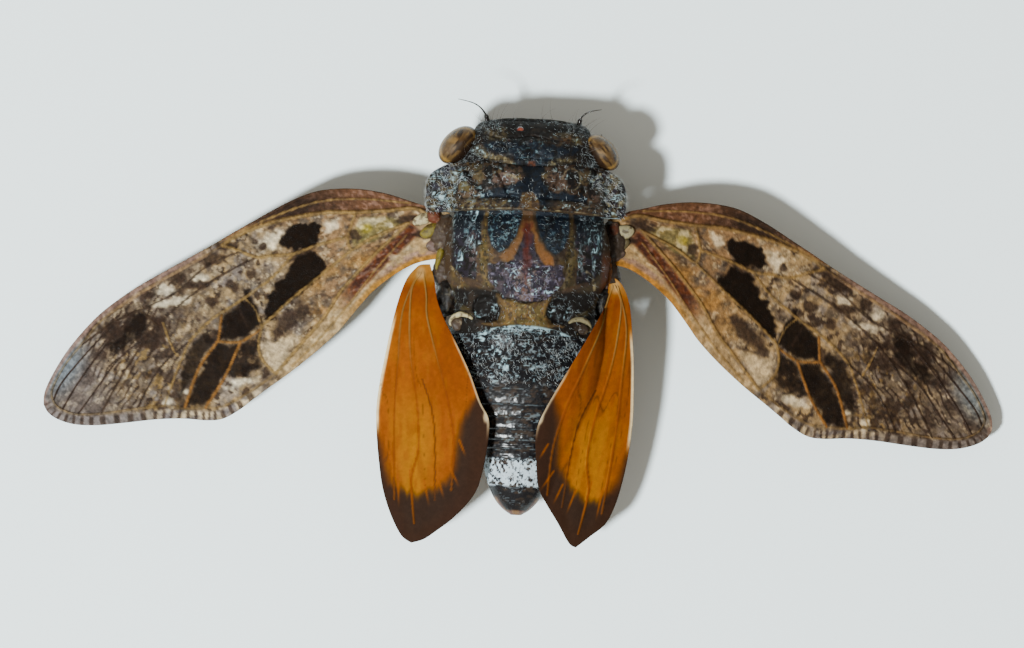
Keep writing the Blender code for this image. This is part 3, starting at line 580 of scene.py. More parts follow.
def head_paint(pal, x, y, z):
    ax = np.abs(x)
    p = Paint(len(x), pal.pitch)
    top = step(z, 4.2, 5.4)
    p.lay(pal.brown, 0.55 * blots(x, y, 0.4, 52, 0.0, 0.5) * top)
    lay_marks(p, pal, x, y, HEAD_MARKS)
    p.lay(pal.pitch, 0.75 * blots(x, y, 0.17, 54, -0.05, 0.3))
    face = step(y, 7.45, 7.75) * (1 - top)
    p.lay(pal.brown, 0.6 * face * (0.5 + 0.5 * np.cos(2 * np.pi * z / FACE_RIDGES)) * step(ax, 2.2, 1.7))
    p.lay(pal.ochre, 0.35 * (1 - top) * blots(x, z, 0.7, 59, 0.0, 0.6))
    behind_eye = oval(ax, y, 2.95, 6.15, 0.45, 0.28, 0.4, 20, 0.2) * top * step(x, 4.0, -4.0)
    p.lay(pal.cream, 0.22 * behind_eye)
    p.lay(pal.cream, 0.5 * squiggles(x * 2.5, y, 0.15, 58, 0.6)
          * patch(ax, y, ((2.8, 6.1), (1.15, 5.8), (1.0, 5.45), (2.7, 5.75)), 0.08))
    p.lay(pal.frost, 0.9 * behind_eye * squiggles(x, y, 0.16, 60, 0.8))
    drift = 0.2 + 0.8 * blots(x, y, 0.4, 67, -0.15, 0.3)
    p.lay(pal.silver, 0.55 * squiggles(x, y, 0.14, 61, 0.35) * top * drift)
    p.lay(pal.teal, 0.6 * squiggles(x, y, 0.16, 64, 0.35) * top * step(ax, 1.8, 0.8) * step(y, 7.1, 6.8))
    p.lay(pal.frost, 0.7 * squiggles(x, y, 0.13, 66, 0.12) * top * drift)
    clumps = blots(x, y, 0.5, 63, 0.1, 0.5)
    fuzz = (0.05 + 0.3 * clumps + 0.9 * step(ax, 2.5, 3.1) * step(y, 6.9, 6.3)) * step(z, 3.2, 4.2)
    fuzz = fuzz + 0.7 * oval(ax, y, 2.5, 7.6, 0.7, 0.45) * step(z, 3.6, 4.4)
    return p.rgb, 0.62 + 0.13 * step(y, 7.1, 7.6), np.clip(fuzz, 0, 1)


PRONOTUM_MARKS = (
    ("navy", 0.97, 0.1, 0.16,
     ((-0.5, 5.7), (0.75, 5.7), (0.62, 4.9), (0.75, 4.5), (1.3, 4.0), (2.4, 3.9), (3.3, 3.75), (3.2, 3.25),
      (0.5, 3.05), (-0.5, 3.05), (-2.8, 3.3), (-2.9, 3.75), (-2.0, 4.1), (-1.0, 4.2), (-0.45, 4.6),
      (-0.35, 5.0))),
    ("mauve", 0.85, 0.08, 0.12,
     ((-2.14, 4.85), (-1.02, 5.18), (-0.5, 4.98), (-0.57, 4.56), (-1.55, 4.24), (-2.26, 4.35))),
    ("olive", 0.6, 0.08, 0.08, ((-0.95, 5.12), (-0.45, 4.95), (-0.55, 4.62), (-0.9, 4.65))),
    ("mauve", 0.4, 0.08, 0.12, ((0.78, 4.62), (1.0, 5.05), (1.83, 4.9), (1.93, 4.17), (1.3, 4.02))),
    ("khaki", 0.6, 0.08, 0.08, ((0.6, 5.1), (0.98, 5.1), (0.95, 4.7), (0.65, 4.68))),
    ("khaki", 0.5, 0.08, 0.1, ((-3.3, 5.45), (-2.75, 5.4), (-2.68, 4.6), (-2.9, 4.25), (-3.2, 4.6))),
    ("olive", 0.95, 0.07, 0.1, ((-4.1, 4.45), (-3.6, 4.38), (-3.3, 3.95), (-3.48, 3.72), (-3.95, 3.9))),
    ("khaki", 0.45, 0.08, 0.1, ((2.7, 5.3), (3.4, 5.2), (3.3, 4.55), (2.8, 4.45))),
    ("pitch", 0.97, 0.06, 0.06, ((-3.87, 4.95), (-3.45, 5.02), (-3.4, 4.62), (-3.75, 4.56))),
    ("pitch", 0.97, 0.06, 0.06, ((-2.62, 5.25), (-2.2, 5.25), (-2.14, 4.62), (-2.5, 4.55))),
    ("pitch", 0.97, 0.06, 0.06, ((2.02, 5.12), (2.45, 5.12), (2.52, 4.48), (2.12, 4.35))),
    ("pitch", 0.85, 0.08, 0.1, ((3.2, 4.9), (3.62, 4.8), (3.62, 4.0), (3.2, 3.9))),
    ("pitch", 0.8, 0.08, 0.1, ((-3.15, 4.2), (-2.7, 4.2), (-2.4, 3.8), (-3.0, 3.72))),
)


def pronotum_paint(pal, x, y, z):
    ax = np.abs(x)
    back = y + 0.011 * x * x
    p = Paint(len(x), pal.brown)
    m1 = cloud(x, y, 0.5, 71)
    m2 = cloud(x, y, 0.2, 75)
    p.lay(pal.khaki, 0.35 * step(m1, -0.1, 0.5) * step(x, 1.6, 0.0))
    p.lay(pal.mauve, 0.5 * blots(x, y, 0.35, 77, 0.1, 0.5))
    p.lay(pal.pitch, 0.9 * step(m2 - 0.4 * m1, 0.0, 0.25))
    lay_marks(p, pal, x, y, PRONOTUM_MARKS)
    p.lay(pal.cream, 0.35 * bell(np.hypot(x - 2.3, (y - 4.72) / 1.25) - 0.5, 0.05) * step(m2, -0.3, 0.1))
    p.lay(pal.cream, 0.5 * oval(x, y, -1.05, 4.78, 0.4, 0.1, 0.5, -12, 0.3))
    p.lay(pal.pitch, 0.55 * blots(x, y, 0.16, 80, 0.15, 0.4))
    rear = step(back, 3.6, 3.48)
    band = rear * step(ax, 0.8, 1.6)
    p.lay(pal.brown, 0.75 * band)
    left = step(x, 1.5, -1.0)
    p.lay(pal.olive, (0.25 + 0.5 * left) * band * blots(x, y * 2.0, 0.24, 81, 0.0, 0.3))
    p.lay(pal.silver, 0.5 * left * band * squiggles(x, y, 0.14, 82, 0.5))
    p.lay(pal.khaki, (0.25 + 0.2 * left) * band * blots(x, y * 2.0, 0.22, 83, 0.15, 0.4))
    p.lay(pal.pitch, 0.75 * band * blots(x, y * 1.6, 0.18, 84, 0.15, 0.35))
    spot = patch(x, y, ((-0.42, 3.84), (0.2, 3.88), (0.5, 3.4), (0.52, 2.9), (-0.62, 2.9), (-0.58, 3.4)),
                 0.08, 0.06)
    p.lay(pal.brown, 0.95 * spot)
    p.lay(pal.ochre, 0.45 * spot * step(m2, -0.3, 0.4))
    edge = bell(back - 2.97 - 0.02 * m1, 0.035)
    p.lay(pal.cream, 0.55 * edge * blots(x, y, 0.22, 86, -0.15, 0.3) * (1 - spot))
    lobes = np.maximum(step(ax, 4.05, 4.35), oval(ax, y, 4.0, 4.75, 0.65, 0.55, 0.3)) * step(z, 4.2, 4.8)
    for k in (6, 8):
        lobes = lobes * (1 - patch(x, y, PRONOTUM_MARKS[k][4], 0.07))
    p.lay(pal.pitch, 0.85 * lobes)
    p.lay(pal.brown, 0.6 * lobes * blots(x, y, 0.5, 93, 0.0, 0.3)
          * step(x + 8 * step(y, 4.3, 3.7), -1.0, 1.0))
    drift = cloud(x, y, 0.34, 94)
    p.lay(pal.violet, 0.8 * lobes * step(drift, 0.0, -0.3))
    p.lay(pal.khaki, 0.6 * lobes * blots(x, y, 0.3, 95, 0.1, 0.4))
    drift = 0.25 + 0.75 * step(drift, -0.3, 0.15)
    p.lay(pal.silver, 0.7 * lobes * drift * squiggles(x, y, 0.14, 85, 0.75))
    p.lay(pal.frost, 0.9 * lobes * drift * squiggles(x, y, 0.13, 88, 0.55))
    p.lay(pal.cream, 0.8 * lobes * squiggles(x, y, 0.16, 91, 0.35) * step(x, -4.0, 4.0))
    p.lay(pal.frost, 0.7 * squiggles(x, y, 0.15, 90, 0.7) * oval(x, y, -2.67, 3.85, 0.5, 0.35, 0.4))
    plain = (1 - lobes) * step(ax + 1.2 * step(y, 4.2, 3.6), 0.7, 1.3)
    p.lay(pal.silver, 0.6 * plain * squiggles(x, y, 0.15, 87, 0.35))
    p.lay(pal.frost, 0.7 * plain * squiggles(x, y, 0.13, 89, 0.14))
    p.lay(pal.brown, 0.8 * step(z, 4.6, 4.0))
    clumps = blots(x, y, 0.45, 92, -0.2, 0.4)
    fuzz = np.clip(0.05 + 0.12 * clumps + lobes * (0.35 + 0.65 * clumps), 0, 1) * step(z, 4.4, 5.0)
    return p.rgb, 0.62 + 0.06 * lobes, fuzz * step(back, 2.95, 3.07)


TEARDROP = ((0.42, 2.95), (2.25, 2.9), (2.32, 1.75), (2.05, 0.82), (1.58, 0.44), (1.12, 0.72), (0.66, 1.45),
            (0.4, 2.6))
SIDE_FIELD = ((2.56, 2.8), (4.35, 2.8), (4.44, 0.9), (4.3, -0.3), (3.45, -1.15), (2.78, -1.15), (2.86, 0.3),
              (2.66, 1.3))
CORE = ((-0.28, 1.5), (0.22, 1.5), (0.5, 0.6), (0.95, -0.15), (2.1, -0.1), (2.12, -1.0), (1.75, -1.6),
        (1.4, -2.0), (0.6, -2.25), (-0.4, -2.25), (-1.2, -2.05), (-1.8, -1.55), (-2.2, -0.95),
        (-2.2, -0.25), (-1.3, -0.1), (-0.75, 0.1), (-0.45, 0.7))
CROSS = ((-1.68, -1.88), (-1.16, -2.14), (-0.44, -2.32), (0.27, -2.36), (0.9, -2.19), (1.48, -1.92),
         (1.3, -2.46), (1.18, -3.03), (1.46, -3.4), (2.3, -3.55), (1.2, -3.72), (-0.39, -3.58),
         (-1.4, -3.68), (-2.36, -3.66), (-1.53, -3.34), (-1.36, -2.79))
V_LEFT = ((-0.41, 3.05), (-0.4, 2.72), (-0.6, 1.44), (-1.13, 0.56), (-1.58, 0.26), (-1.39, -0.02),
          (-0.83, 0.08), (-0.56, 0.52), (-0.38, 1.16), (-0.25, 1.75), (0.0, 2.2), (0.0, 3.05))
V_RIGHT = ((0.26, 3.05), (0.27, 2.72), (0.42, 1.69), (0.84, 0.86), (1.46, 0.26), (1.49, -0.1), (1.03, -0.2),
           (0.65, 0.36), (0.41, 0.98), (0.2, 1.75), (-0.05, 2.2), (-0.05, 3.05))
RED_LINE = ((-0.1, 2.05), (-0.02, 0.9), (0.0, -0.17), (-0.12, -1.45), (-0.05, -2.0))
CORDS = (((-4.28, -0.5), (-3.77, -0.9), (-3.77, -1.6)),
         ((3.24, -0.31), (3.64, -0.65), (3.84, -1.03), (3.9, -1.5)))
HIND_RIDGE = ((4.3, -1.6), (3.98, -2.33), (3.55, -2.75), (3.0, -3.0))
REAR_ARM = ((3.45, -1.12), (2.6, -1.42), (1.96, -1.66))


def mesonotum_paint(pal, x, y, z):
    ax = np.abs(x)
    p = Paint(len(x), pal.brown)
    m1 = cloud(x, y, 0.5, 91)
    m2 = cloud(x, y, 0.2, 95)
    p.lay(pal.olive, 0.6 * step(m1, -0.2, 0.4))
    p.lay(pal.ochre, 0.4 * step(m2, 0.0, 0.4))
    left = step(x, 0.5, -0.5)
    # painted shade: the right half is darkened, as the side away from the key light
    p.lay(pal.pitch, 0.4 * (1 - left))
    side = patch(ax, y, SIDE_FIELD, 0.09, 0.14)
    p.lay(pal.pitch, 0.97 * side)
    p.lay(pal.navy, 0.7 * side * step(y, 0.6, 1.6))
    p.lay(pal.violet, 0.8 * side * step(y, 2.0, 1.2) * step(m2, -0.3, 0.3))
    p.lay(pal.mauve, 0.6 * side * oval(ax, y, 3.05, 0.55, 0.3, 1.0, 0.4, 0, 0.4) * step(m2, -0.2, 0.2))
    streaky = side * step(y, -0.9, -0.3) * step(noise(x * 2.0, y * 0.5, 0.5, 96), -0.5, 0.2)
    for colour, share, grain, seed, amount in (("teal", 0.8, 0.18, 97, 0.6), ("silver", 0.8, 0.14, 98, 0.6),
                                               ("frost", 0.95, 0.18, 99, 0.48)):
        mask = squiggles(x * 1.5, y * 0.7, grain, seed, amount)
        p.lay(getattr(pal, colour), share * streaky * mask)
    # orange V with a red streak, and the mottled field that it holds
    core = patch(x, y, CORE, 0.07, 0.1)
    p.lay(pal.violet, 0.97 * core)
    p.lay(pal.pitch, 0.7 * core * step(m2, 0.0, 0.3))
    low_core = core * step(y, 0.4, -0.2)
    middle = step(np.abs(x), 0.9, 0.4)
    p.lay(pal.mauve, (0.35 + 0.4 * middle) * low_core * blots(x, y, 0.18, 100, 0.0, 0.25))
    p.lay(pal.lilac, 0.8 * low_core * squiggles(x, y, 0.15, 101, 0.6))
    p.lay(pal.frost, 0.85 * low_core * squiggles(x, y, 0.18, 104, 0.36))
    p.lay(pal.amber, 0.85 * patch(x, y, V_LEFT, 0.09, 0.08))
    p.lay(pal.amber, 0.95 * patch(x, y, V_RIGHT, 0.09, 0.08))
    p.lay(pal.yolk, 0.3 * patch(x, y, V_RIGHT, 0.12) * step(y, 0.9, 0.0) * step(m2, -0.6, 0.2))
    p.lay(pal.brown, 0.65 * step(y, 1.9, 2.6) * step(ax, 0.6, 0.4))
    red, share = line_distance(x, y, RED_LINE)
    red = red + 0.14 * noise(x, y, 0.22, 119)
    p.lay(pal.red, 0.85 * step(red, 0.4 - 0.26 * share, 0.02) * step(share, 0.8, 0.4))
    p.lay(pal.rust, 0.6 * step(red, 0.1, 0.03) * step(noise(x, y, 0.15, 102), 0.0, 0.4))
    drop = patch(ax, y, TEARDROP, 0.05, 0.03)
    p.lay(pal.pitch, 0.75 * patch(ax, y, TEARDROP, 0.22) * (1 - drop) * step(y, 2.6, 2.1))
    p.lay(pal.navy, drop)
    p.lay(pal.pitch, 0.6 * drop * step(m2, 0.0, 0.4))
    inner = patch(ax, y, TEARDROP, 0.2) * drop * (0.55 + 0.45 * left)
    p.lay(pal.teal, 0.85 * inner * squiggles(x, y, 0.13, 103, 0.7))
    p.lay(pal.frost, 0.6 * inner * squiggles(x, y, 0.15, 106, 0.28))
    # light stripes between the fields
    stripe, _ = line_distance(ax, y, ((2.42, 2.6), (2.45, 1.6), (2.44, 0.3), (2.44, -0.7), (2.05, -1.55)))
    wide = np.interp(y, (-1.6, -0.5, 0.3, 1.2, 2.3), (0.1, 0.18, 0.28, 0.12, 0.03))
    p.lay(pal.olive, (0.55 + 0.3 * left) * step(stripe, wide + 0.1, wide - 0.08))
    p.lay(pal.ochre, 0.5 * left * step(stripe, wide, 0.5 * wide) * step(m2, -0.3, 0.3))
    p.lay(pal.pitch, 0.6 * step(stripe, wide + 0.05, wide) * blots(x, y, 0.15, 112, 0.05, 0.35))
    rim = step(ax, 4.1, 4.38) * step(z, 4.6, 5.2)
    p.lay(pal.brown, 0.8 * rim)
    p.lay(pal.rust, 0.75 * rim * (1 - left) * step(y, 0.9, 0.2))
    # hind third: dark ground, ridges, the pale cross and its pits
    rear = step(y, -1.45, -1.8) * (1 - core)
    p.lay(pal.pitch, 0.95 * rear)
    p.lay(pal.brown, 0.45 * rear * step(m1, 0.0, 0.4))
    for line, width, colour, strength in ((HIND_RIDGE, 0.16, "olive", 0.6), (REAR_ARM, 0.12, "brown", 0.8)):
        d, _ = line_distance(ax, y, line)
        p.lay(getattr(pal, colour), strength * step(d, width + 0.06, width - 0.06) * step(m2, -0.6, 0.1))
    for line in CORDS:
        d, _ = line_distance(x, y, line)
        p.lay(pal.cream, 0.5 * step(d, 0.12, 0.04) * step(m2, -0.4, 0.2))
    p.lay(pal.silver, 0.7 * rear * squiggles(x, y, 0.15, 108, 0.28))
    cross = patch(x, y, CROSS, 0.07, 0.1)
    p.lay(pal.ochre, 0.8 * cross)
    p.lay(pal.olive, 0.85 * cross * step(m2, -0.4, 0.2))
    p.lay(pal.cream, 0.55 * cross * squiggles(x, y, 0.12, 105, 0.42))
    p.lay(pal.brown, 0.7 * cross * blots(x, y, 0.16, 113, 0.15, 0.4))
    p.lay(pal.brown, 0.5 * cross * step(ax, 1.0, 1.5))
    for cx, cy in PITS:
        r = np.hypot(x - cx, y - cy)
        p.lay(pal.pitch, 0.97 * step(r, 0.78, 0.66))
        p.lay(pal.silver, 0.8 * step(r, 0.78, 0.7) * squiggles(x, y, 0.13, 107, 0.55))
        p.lay(pal.frost, 0.9 * step(np.abs(r - 0.52), 0.26, 0.1) * squiggles(x, y, 0.16, 109, 0.45)
              * step(y, -2.3, -2.6))
    # the plate behind, black with an arched pale rim
    arch = -3.6 - 0.075 * x * x
    last = step(y - arch, 0.02, -0.05)
    p.lay(pal.jet, last)
    p.lay(pal.frost, 0.8 * step(np.abs(y - arch + 0.12), 0.2, 0.08) * step(ax, 3.0, 2.3)
          * step(m2, -0.7, 0.0))
    p.lay(pal.frost, 0.9 * last * squiggles(x, y, 0.14, 114, 0.75))
    p.lay(pal.brown, 0.7 * step(z, 5.6, 4.6))
    p.lay(pal.ochre, 0.5 * step(z, 5.4, 4.4) * blots(y, z, 0.7, 109, 0.0, 0.5))
    clumps = blots(x, y, 0.5, 110, -0.2, 0.4)
    fuzz = 0.04 + clumps * (0.35 * side + 0.25 * low_core) + 0.15 * drop + 0.7 * last + 0.12 * rear
    return p.rgb, 0.6 + 0.06 * rear, np.clip(fuzz, 0, 1) * step(z, 4.8, 5.6)


def abdomen_paint(pal, x, y, z):
    p = Paint(len(x), pal.jet)
    top = step(z - (3.6 + 0.1 * (y + 14)), 0.0, 0.8)
    m2 = cloud(x, y, 0.3, 111)
    for edge in TERGITE_EDGES[1:]:
        ring = bell(y + 0.008 * x * x - edge - 0.03 * m2, 0.04) * top
        p.lay(pal.silver, 0.75 * ring * step(m2, -0.2, 0.3))
    p.lay(pal.brown, 0.7 * step(z, 3.2, 2.4))
    p.lay(pal.ochre, 0.35 * step(z, 3.0, 2.3) * step(m2, -0.1, 0.5))
    fore = step(y, -7.3, -6.6) * top
    # painted light: the whitest hairs of the front plates are laid only on the left, the side toward the key
    # light
    lit = fore * step(x, 2.4, -0.6)
    p.lay(pal.brown, 0.7 * top * blots(x, y * 2, 0.35, 119, 0.0, 0.4) * (1 - 0.5 * fore))
    p.lay(pal.silver, 0.9 * squiggles(x, y, 0.15, 113, 0.6) * fore)
    p.lay(pal.frost, 0.9 * squiggles(x, y, 0.18, 115, 0.42) * lit)
    p.lay(pal.frost, 0.8 * squiggles(x, y, 0.14, 116, 0.8) * step(y, -4.3, -3.9) * top)
    p.lay(pal.silver, 0.8 * squiggles(x, y * 1.6, 0.2, 118, 0.36) * top * (1 - fore))
    band = step(y, -11.05, -11.25) * step(y, -12.85, -12.68)
    edge_gap = 0.35 * (step(y, -11.45, -11.15) + step(y, -12.5, -12.8))
    wax = band * step(cloud(x, y, 0.13, 117) - edge_gap, -0.45, 0.05) * step(z, 2.2, 2.7)
    p.lay(pal.wax, 0.95 * wax)
    half = np.interp(-y, [-r[0] for r in ABDOMEN], [r[1] for r in ABDOMEN])
    tip = step(y, -13.2, -13.6) * np.maximum(step(np.abs(x) / half, 0.7, 0.92), step(y, -14.05, -14.2))
    p.lay(pal.rust, 0.85 * tip)
    p.lay(pal.ochre, 0.7 * tip * step(m2, -0.3, 0.3))
    rough = 0.5 + 0.3 * wax + 0.26 * np.maximum(fore, step(z, 3.6, 2.6))
    fuzz = np.clip(0.75 * fore * step(m2, -0.5, 0.2) + 0.35 * wax, 0, 1) * step(z, 3.0, 3.6)
    return p.rgb, rough, fuzz


# wings
FORE_EDGE = (
    (-0.45, 1.0), (0.28, 1.67), (1.25, 2.54), (2.56, 3.42), (3.97, 4.06), (5.2, 4.37), (6.89, 4.4),
    (8.66, 4.26), (10.08, 4.14), (11.15, 4.02), (12.58, 3.9), (14.35, 3.76), (16.12, 3.62), (17.39, 3.43),
    (18.91, 3.09), (20.35, 2.54), (21.68, 1.87), (22.9, 1.05), (23.74, 0.32), (24.1, -0.3), (24.05, -0.85),
    (23.69, -1.44), (22.95, -2.08), (21.84, -2.64), (20.37, -3.16), (18.59, -3.74), (17.15, -4.33),
    (15.91, -5.0), (15.02, -5.29), (13.96, -5.21), (13.2, -5.03), (12.06, -4.78), (10.37, -4.44),
    (8.44, -3.94), (6.83, -3.39), (5.73, -2.86), (4.38, -2.25), (3.31, -1.95), (2.21, -1.78), (1.09, -1.8),
)
FORE_FOOT = ((4.4, 0.1), (4.4, 1.1), (4.4, 2.1), (4.5, 2.6))
FORE_TIP = 19                  # place in FORE_EDGE of the wing's tip
FORE_WINGS = {"left": (-1, (-5.87, 1.84), 26.8, 0.0, 1.0), "right": (1, (5.5, 2.0), 28.0, 0.00198, 0.99)}
# each vein: half width, rise, golden share, points
FORE_VEINS = {
    "costa_inner": (0.09, 0.16, 1.0, ((0.3, 1.5), (2.5, 2.75), (5.0, 3.72), (8.0, 4.02), (10.5, 3.95))),
    "radius": (0.19, 0.3, 1.0,
     ((-0.45, 0.5), (0.2, 1.15), (1.5, 1.6), (3.3, 2.3), (4.6, 2.9), (5.9, 3.3), (7.6, 3.7), (9.0, 3.86),
      (10.2, 3.86), (11.0, 3.72))),
    "radial_step": (0.13, 0.2, 0.9, ((3.3, 2.3), (4.3, 1.2))),
    "sector": (0.14, 0.22, 1.0,
     ((4.3, 1.2), (6.1, 1.5), (7.5, 1.6), (8.6, 2.0), (9.5, 2.3), (10.2, 3.0), (11.0, 3.72))),
    "sector_outer": (0.09, 0.14, 0.45,
     ((9.5, 2.3), (11.0, 2.25), (13.1, 2.0), (15.4, 1.4), (17.6, 0.4), (19.5, -0.8), (21.3, -2.15))),
    "upper_outer": (0.09, 0.14, 0.45,
     ((10.2, 3.0), (12.3, 3.0), (14.4, 2.4), (16.1, 2.3), (18.3, 2.3), (20.6, 1.9))),
    "median": (0.12, 0.2, 0.95, ((7.5, 1.6), (9.1, 0.9), (11.0, 0.5), (13.4, 0.1), (15.0, -0.5))),
    "median_outer": (0.08, 0.13, 0.4, ((15.0, -0.5), (17.2, -1.2), (19.3, -2.75))),
    "basal": (0.13, 0.2, 0.9, ((0.8, 0.5), (3.0, 0.6), (4.35, 0.45), (4.3, 1.2))),
    "cubitus": (0.12, 0.2, 1.0, ((4.35, 0.45), (6.4, -0.1), (8.7, -0.7), (10.8, -1.4))),
    "hind_arc": (0.12, 0.2, 1.0, ((10.8, -1.4), (11.4, -2.2), (11.6, -3.1), (11.25, -4.2))),
    "claval": (0.14, 0.22, 0.85,
     ((0.8, 0.5), (3.2, -0.3), (4.7, -0.9), (6.0, -1.5), (7.4, -2.4), (8.7, -3.0), (10.0, -3.62),
      (11.25, -4.2))),
    "cross_upper": (0.1, 0.18, 1.3, ((12.6, 0.25), (13.3, -0.9), (13.5, -1.15))),
    "cross_mid": (0.1, 0.18, 1.2, ((13.5, -1.15), (12.3, -1.7), (10.95, -1.55))),
    "first_apical": (0.11, 0.18, 1.25, ((12.3, -1.7), (14.0, -3.2), (15.7, -4.3))),
    "second_apical": (0.11, 0.18, 1.25, ((13.5, -1.15), (15.1, -2.1), (16.8, -3.85))),
    "third_apical": (0.08, 0.12, 0.9, ((15.0, -0.5), (16.2, -1.6), (17.8, -3.25))),
    "apical_step": (0.08, 0.12, 0.9, ((16.0, -0.85), (16.0, 0.15), (15.9, 1.15))),
    "upper_step": (0.07, 0.1, 0.5, ((16.3, 1.1), (16.8, 2.25))),
    "far_apical": (0.07, 0.1, 0.3, ((16.6, 0.85), (19.0, 0.3), (21.2, -0.9), (22.5, -1.62))),
    "farther_apical": (0.07, 0.1, 0.3, ((17.2, 2.28), (19.4, 1.3), (21.6, 0.1), (23.2, -1.0))),
    "upper_apical": (0.07, 0.1, 0.3, ((18.4, 2.28), (20.6, 1.35), (22.6, 0.4), (23.45, -0.3))),
    "cell_arc": (0.07, 0.12, 0.8, ((11.1, 0.5), (10.8, -0.3), (10.85, -1.4))),
    "inner_claval": (0.09, 0.12, 0.7, ((1.2, -0.1), (3.5, -1.1), (5.6, -2.2), (8.0, -3.35), (10.2, -4.2))),
    "margin": (0.1, 0.16, 0.6,
     ((11.0, 3.72), (12.7, 3.55), (16.2, 3.2), (19.0, 2.7), (20.6, 1.95), (22.1, 1.2), (23.3, 0.25),
      (23.5, -0.4), (23.3, -0.95), (22.6, -1.6), (21.3, -2.15), (19.3, -2.75), (17.8, -3.25), (16.8, -3.85),
      (15.7, -4.3), (14.9, -4.62), (13.6, -4.6), (11.25, -4.2))),
}
HIND_EDGES = {
    "left": (((-0.45, -0.15), (-0.4, 0.35), (-0.22, 0.62), (0.45, 1.12), (1.63, 1.51), (3.39, 1.87),
              (5.03, 2.12), (6.44, 2.32), (7.83, 2.42), (9.21, 2.34), (10.83, 2.12), (12.43, 1.8),
              (13.9, 1.25), (15.02, 0.6), (15.42, 0.0), (15.18, -0.68), (14.68, -1.35), (13.93, -2.23),
              (13.07, -2.99), (12.23, -3.52), (11.18, -3.81), (10.12, -3.95), (8.96, -4.05), (8.04, -3.97),
              (7.13, -3.45), (5.56, -2.78), (4.09, -2.0), (2.75, -1.22), (1.62, -0.7), (0.47, -0.45)), 14),
    "right": (((-0.35, -0.05), (-0.32, 0.37), (0.17, 0.87), (1.2, 1.32), (2.81, 1.64), (4.42, 1.91),
               (6.03, 2.1), (7.66, 2.24), (9.3, 2.22), (10.73, 2.11), (12.29, 1.85), (13.54, 1.4),
               (14.4, 0.57), (15.09, -0.14), (14.87, -0.57), (13.76, -1.36), (12.76, -2.13), (11.84, -2.68),
               (10.45, -2.95), (9.38, -3.13), (8.5, -3.12), (7.6, -2.85), (6.56, -2.42), (4.83, -1.64),
               (3.1, -0.86), (1.49, -0.18), (0.82, -0.04)), 13),
}
HIND_WINGS = {"left": (-1, (-5.64, -0.81), 0.9, 1.0), "right": (1, (4.72, -1.05), -4.2, 1.12)}
HIND_VEINS = {
    "outer": (0.09, 0.14, 0.8,
     ((0.1, 0.5), (2.31, 1.25), (5.21, 1.35), (7.54, 1.39), (9.85, 1.31), (13.0, 1.1))),
    "upper": (0.09, 0.15, 1.0,
     ((0.1, 0.35), (1.02, 0.8), (3.1, 0.8), (4.72, 0.65), (6.09, 0.41), (7.6, 0.1), (10.0, -0.1),
      (11.9, 0.2), (14.3, -0.1))),
    "middle": (0.09, 0.15, 1.0,
     ((0.1, 0.2), (1.3, -0.05), (2.46, -0.15), (4.05, -0.62), (5.64, -1.12), (7.34, -1.65), (9.6, -2.1),
      (12.3, -2.1))),
    "branch": (0.06, 0.1, 0.6, ((6.1, -0.1), (8.5, -0.9), (12.9, -1.2))),
}
HIND_PITCH = ((0.0, 4.95, 0.1), (1.4, 4.98, 0.24), (2.8, 4.95, 0.38), (4.1, 4.85, 0.48), (5.5, 4.65, 0.5),
              (7.0, 4.4, 0.47), (9.0, 4.1, 0.4), (12.0, 3.75, 0.24), (15.4, 3.45, 0.14))
HIND_CREST = 2.3               # distance before a hindwing's axis where its height is the one above
HIND_ROOM = 0.36               # room left between the abdomen and a hindwing that rests on it
WING_CAD_SHEET = 0.5
VEIN_SLIM = 0.62


def fore_place(word):
    """Functions between a forewing's own plan and the insect's, and the foot points in the wing's plan."""
    side, root, sweep, bend, along = FORE_WINGS[word]
    a = math.radians(sweep)
    out = (math.cos(a), -math.sin(a))
    fore = (math.sin(a), math.cos(a))

    def place(u, v):
        pu = u * along
        pv = v * along + bend * u * u
        x = side * root[0] + pu * out[0] + pv * fore[0]
        return side * x, root[1] + pu * out[1] + pv * fore[1]

    def local(point):
        dx = point[0] - side * root[0]
        dy = point[1] - root[1]
        return (dx * out[0] + dy * out[1]) / along, (dx * fore[0] + dy * fore[1]) / along

    return place, [local(p) for p in FORE_FOOT]


def fore_top(u, v):
    t = np.clip(u / 24.0, 0, 1)
    return (4.75 - 3.3 * t ** 1.05 - 0.045 * (v - 0.5) * (1 - 0.3 * t) + 0.1 * np.sin(np.pi * t)
            - 0.006 * v * v)


def hind_place(word):
    side, root, swing, _ = HIND_WINGS[word]
    a = math.radians(swing)

    def place(u, v):
        return (root[0] + side * (u * math.sin(a) + v * math.cos(a)),
                root[1] - u * math.cos(a) + v * math.sin(a))
    return place


def abdomen_top(x, y):
    hw, top, mid = read_rows(ABDOMEN, y, 1, 2, 4)
    r = np.clip(np.abs(x) / hw, 0, 1)
    z = mid + (top - mid) * (1 - r ** ABDOMEN_POWER) ** (1 / ABDOMEN_POWER)
    return np.where((r >= 1) | (y < ABDOMEN[-1][0]), 0.0, z)


def hind_top(word, place):
    steep = HIND_WINGS[word][3]

    def top(u, v):
        x, y = place(u, v)
        level, pitch = read_rows(HIND_PITCH, u, 1, 2)
        z = level + steep * pitch * (HIND_CREST - v)
        back = 0.0 * u
        for dx in (-0.25, 0, 0.25):
            for dy in (-0.25, 0, 0.25):
                back = np.maximum(back, abdomen_top(x + dx, y + dy))
        rest = back + WING_CAD_SHEET + HIND_ROOM
        return np.where(rest < z - 0.8, z, np.log(np.exp(6 * z) + np.exp(6 * rest)) / 6)
    return top


